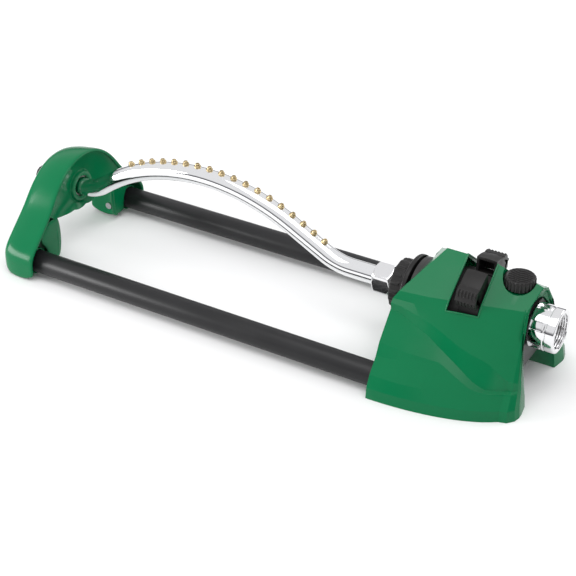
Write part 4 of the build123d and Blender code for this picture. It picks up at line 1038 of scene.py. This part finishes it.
# ---------------------------------------------------------------- flow knob
# A black knob in the well opens and shuts the water. Its rim is fluted for the fingers and its top
# carries raised wavy ribs.
grip_angles = [360 / 144 * step for step in range(144)]
grip = fluted(11.7, 0.75, grip_angles, 24)
slim_grip = fluted(11.2, 0.4, grip_angles, 24)
flow_grip = ring_skin("flow_grip", grip_angles, (
    (81.3, 2.6), (81.3, slim_grip), (81.8, grip), (88.2, grip), (89.0, slim_grip), (89.5, 10.6), (89.6, 10.0),
    (89.1, 9.4), (88.8, 8.6), (88.8, 0.0)), (203, 0), "Z", black_plastic)
soften(flow_grip, 0.2, 2, 35)
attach(flow_grip, "flow_valve")
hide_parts("flow_knob")
wave_line = bpy.data.curves.new("grip_waves", "CURVE")
wave_line.dimensions = "3D"
wave_line.bevel_depth = 0.00055
wave_line.bevel_resolution = 3
wave_line.use_fill_caps = True
wave_line.materials.append(black_plastic)
for row in range(-3, 4):
    offset = row * 2.5
    half = sqrt(9.3 ** 2 - offset ** 2)
    wave = wave_line.splines.new("NURBS")
    wave.points.add(6)
    wave.order_u = 4
    wave.use_endpoint_u = True
    for step, point in enumerate(wave.points):
        x = -half + 2 * half * step / 6
        sway = 0.7 * sin(step * 1.7 + row * 0.8)
        point.co = ((203 + x) / 1000, (offset + sway) / 1000, 0.0889, 1)
        point.radius = 0.5 if step in (0, 6) else 1.0
grip_waves = bpy.data.objects.new("grip_waves", wave_line)
scene.collection.objects.link(grip_waves)
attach(grip_waves, "flow_valve")

# ---------------------------------------------------------------- hose swivel
# The hose screws into a chromed brass swivel. Six pockets round its rear half give a grip, and its
# mouth is cut with a 3/4 inch thread.
pocket_angles = []
for pocket in range(6):
    pocket_angles += [60 * pocket + offset for offset in
                      (0, 4, 8, 11.6, 12.2, 16, 21, 26, 30, 34, 39, 44, 47.8, 48.4, 52, 56)]


def pocketed(radius, depth):
    """Radii round the swivel where its six pockets are cut to depth."""
    return [radius - (depth if min(angle % 60, 60 - angle % 60) < 11.8 else 0) for angle in pocket_angles]


swivel_rings = ((217.2, 9.2), (217.0, 9.6), (217.0, 15.6), (217.5, 16.5), (218.3, 17.0), (218.9, 17.0),
                (219.2, pocketed(17.0, 2.4)), (227.6, pocketed(17.0, 2.4)), (227.9, 17.0), (229.4, 17.0),
                (229.9, 16.5), (230.9, 16.5), (231.4, 17.0), (236.9, 17.0), (237.7, 16.5), (238.0, 15.8),
                (238.0, 14.0), (237.3, 13.2), (225.0, 13.2), (224.6, 12.6), (219.5, 12.6), (219.3, 9.2))
swivel_shell = ring_skin("swivel_shell", pocket_angles, swivel_rings, (0, axis_z), "X", fitting_chrome,
                         closed=True)
soften(swivel_shell, 0.3, 3, 35)
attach(swivel_shell, "swivel")
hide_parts("hose_swivel")
thread_points, thread_faces = [], []
thread_pitch, thread_turns, turn_steps = 1.81, 5.6, 48
for step in range(round(thread_turns * turn_steps) + 1):
    angle = 2 * pi * step / turn_steps
    along = 226.2 + thread_pitch * step / turn_steps
    crest = 13.3 - 1.15 * min(1.0, step / 10, (thread_turns * turn_steps - step) / 10)
    for shift, radius in ((-0.62, 13.4), (-0.12, crest), (0.12, crest), (0.62, 13.4)):
        thread_points.append((along + shift, radius * sin(angle), axis_z + radius * cos(angle)))
for step in range(round(thread_turns * turn_steps)):
    for side in range(4):
        corner, beside = 4 * step + side, 4 * step + (side + 1) % 4
        thread_faces.append((corner, beside, beside + 4, corner + 4))
last = 4 * round(thread_turns * turn_steps)
thread_faces += [(0, 1, 2, 3), (last, last + 1, last + 2, last + 3)]
hose_thread = build("hose_thread", thread_points, thread_faces, fitting_chrome)
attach(hose_thread, "swivel")

# ---------------------------------------------------------------- parts kept from the frame
# The gear case, its wheels, seals and screws keep their shapes. Each takes the finish of its kind:
# black plastic, natural acetal, moulded rubber or ground steel.
acetal = moulded_plastic("natural_acetal", (0.70, 0.68, 0.62), 0.38, 0.5, 0.12, 0.03, 0.2)
seal_rubber = moulded_plastic("seal_rubber", (0.020, 0.019, 0.018), 0.62, 0.35, 0.5, 0.12, 0.1)
pin_steel = plated_metal("ground_steel", (0.52, 0.52, 0.53), 0.18, 0.34, 0.10)
gauze = moulded_plastic("filter_gauze", (0.19, 0.165, 0.14), 0.55, 0.4, 0.5, 0.25, 0.2)
washer_rubber = moulded_plastic("washer_rubber", (0.085, 0.072, 0.062), 0.58, 0.35, 0.4, 0.10, 0.1)
finishes = {"green_shell": green_gloss, "rail_black": satin_black, "black_plastic": black_plastic,
            "chrome_tube": tube_chrome, "chrome_fitting": fitting_chrome, "brass_jet": jet_brass,
            "gear_white": acetal, "steel_pin": pin_steel, "rubber_seal": seal_rubber}
for subpart in frame["record"]["subparts"]:
    kept = nodes[subpart["node"]]
    finish = {"inlet_filter": gauze, "hose_washer": washer_rubber}.get(
        subpart["node"], finishes[subpart["material_slot"]])
    kept.data.materials.clear()
    kept.data.materials.append(finish)
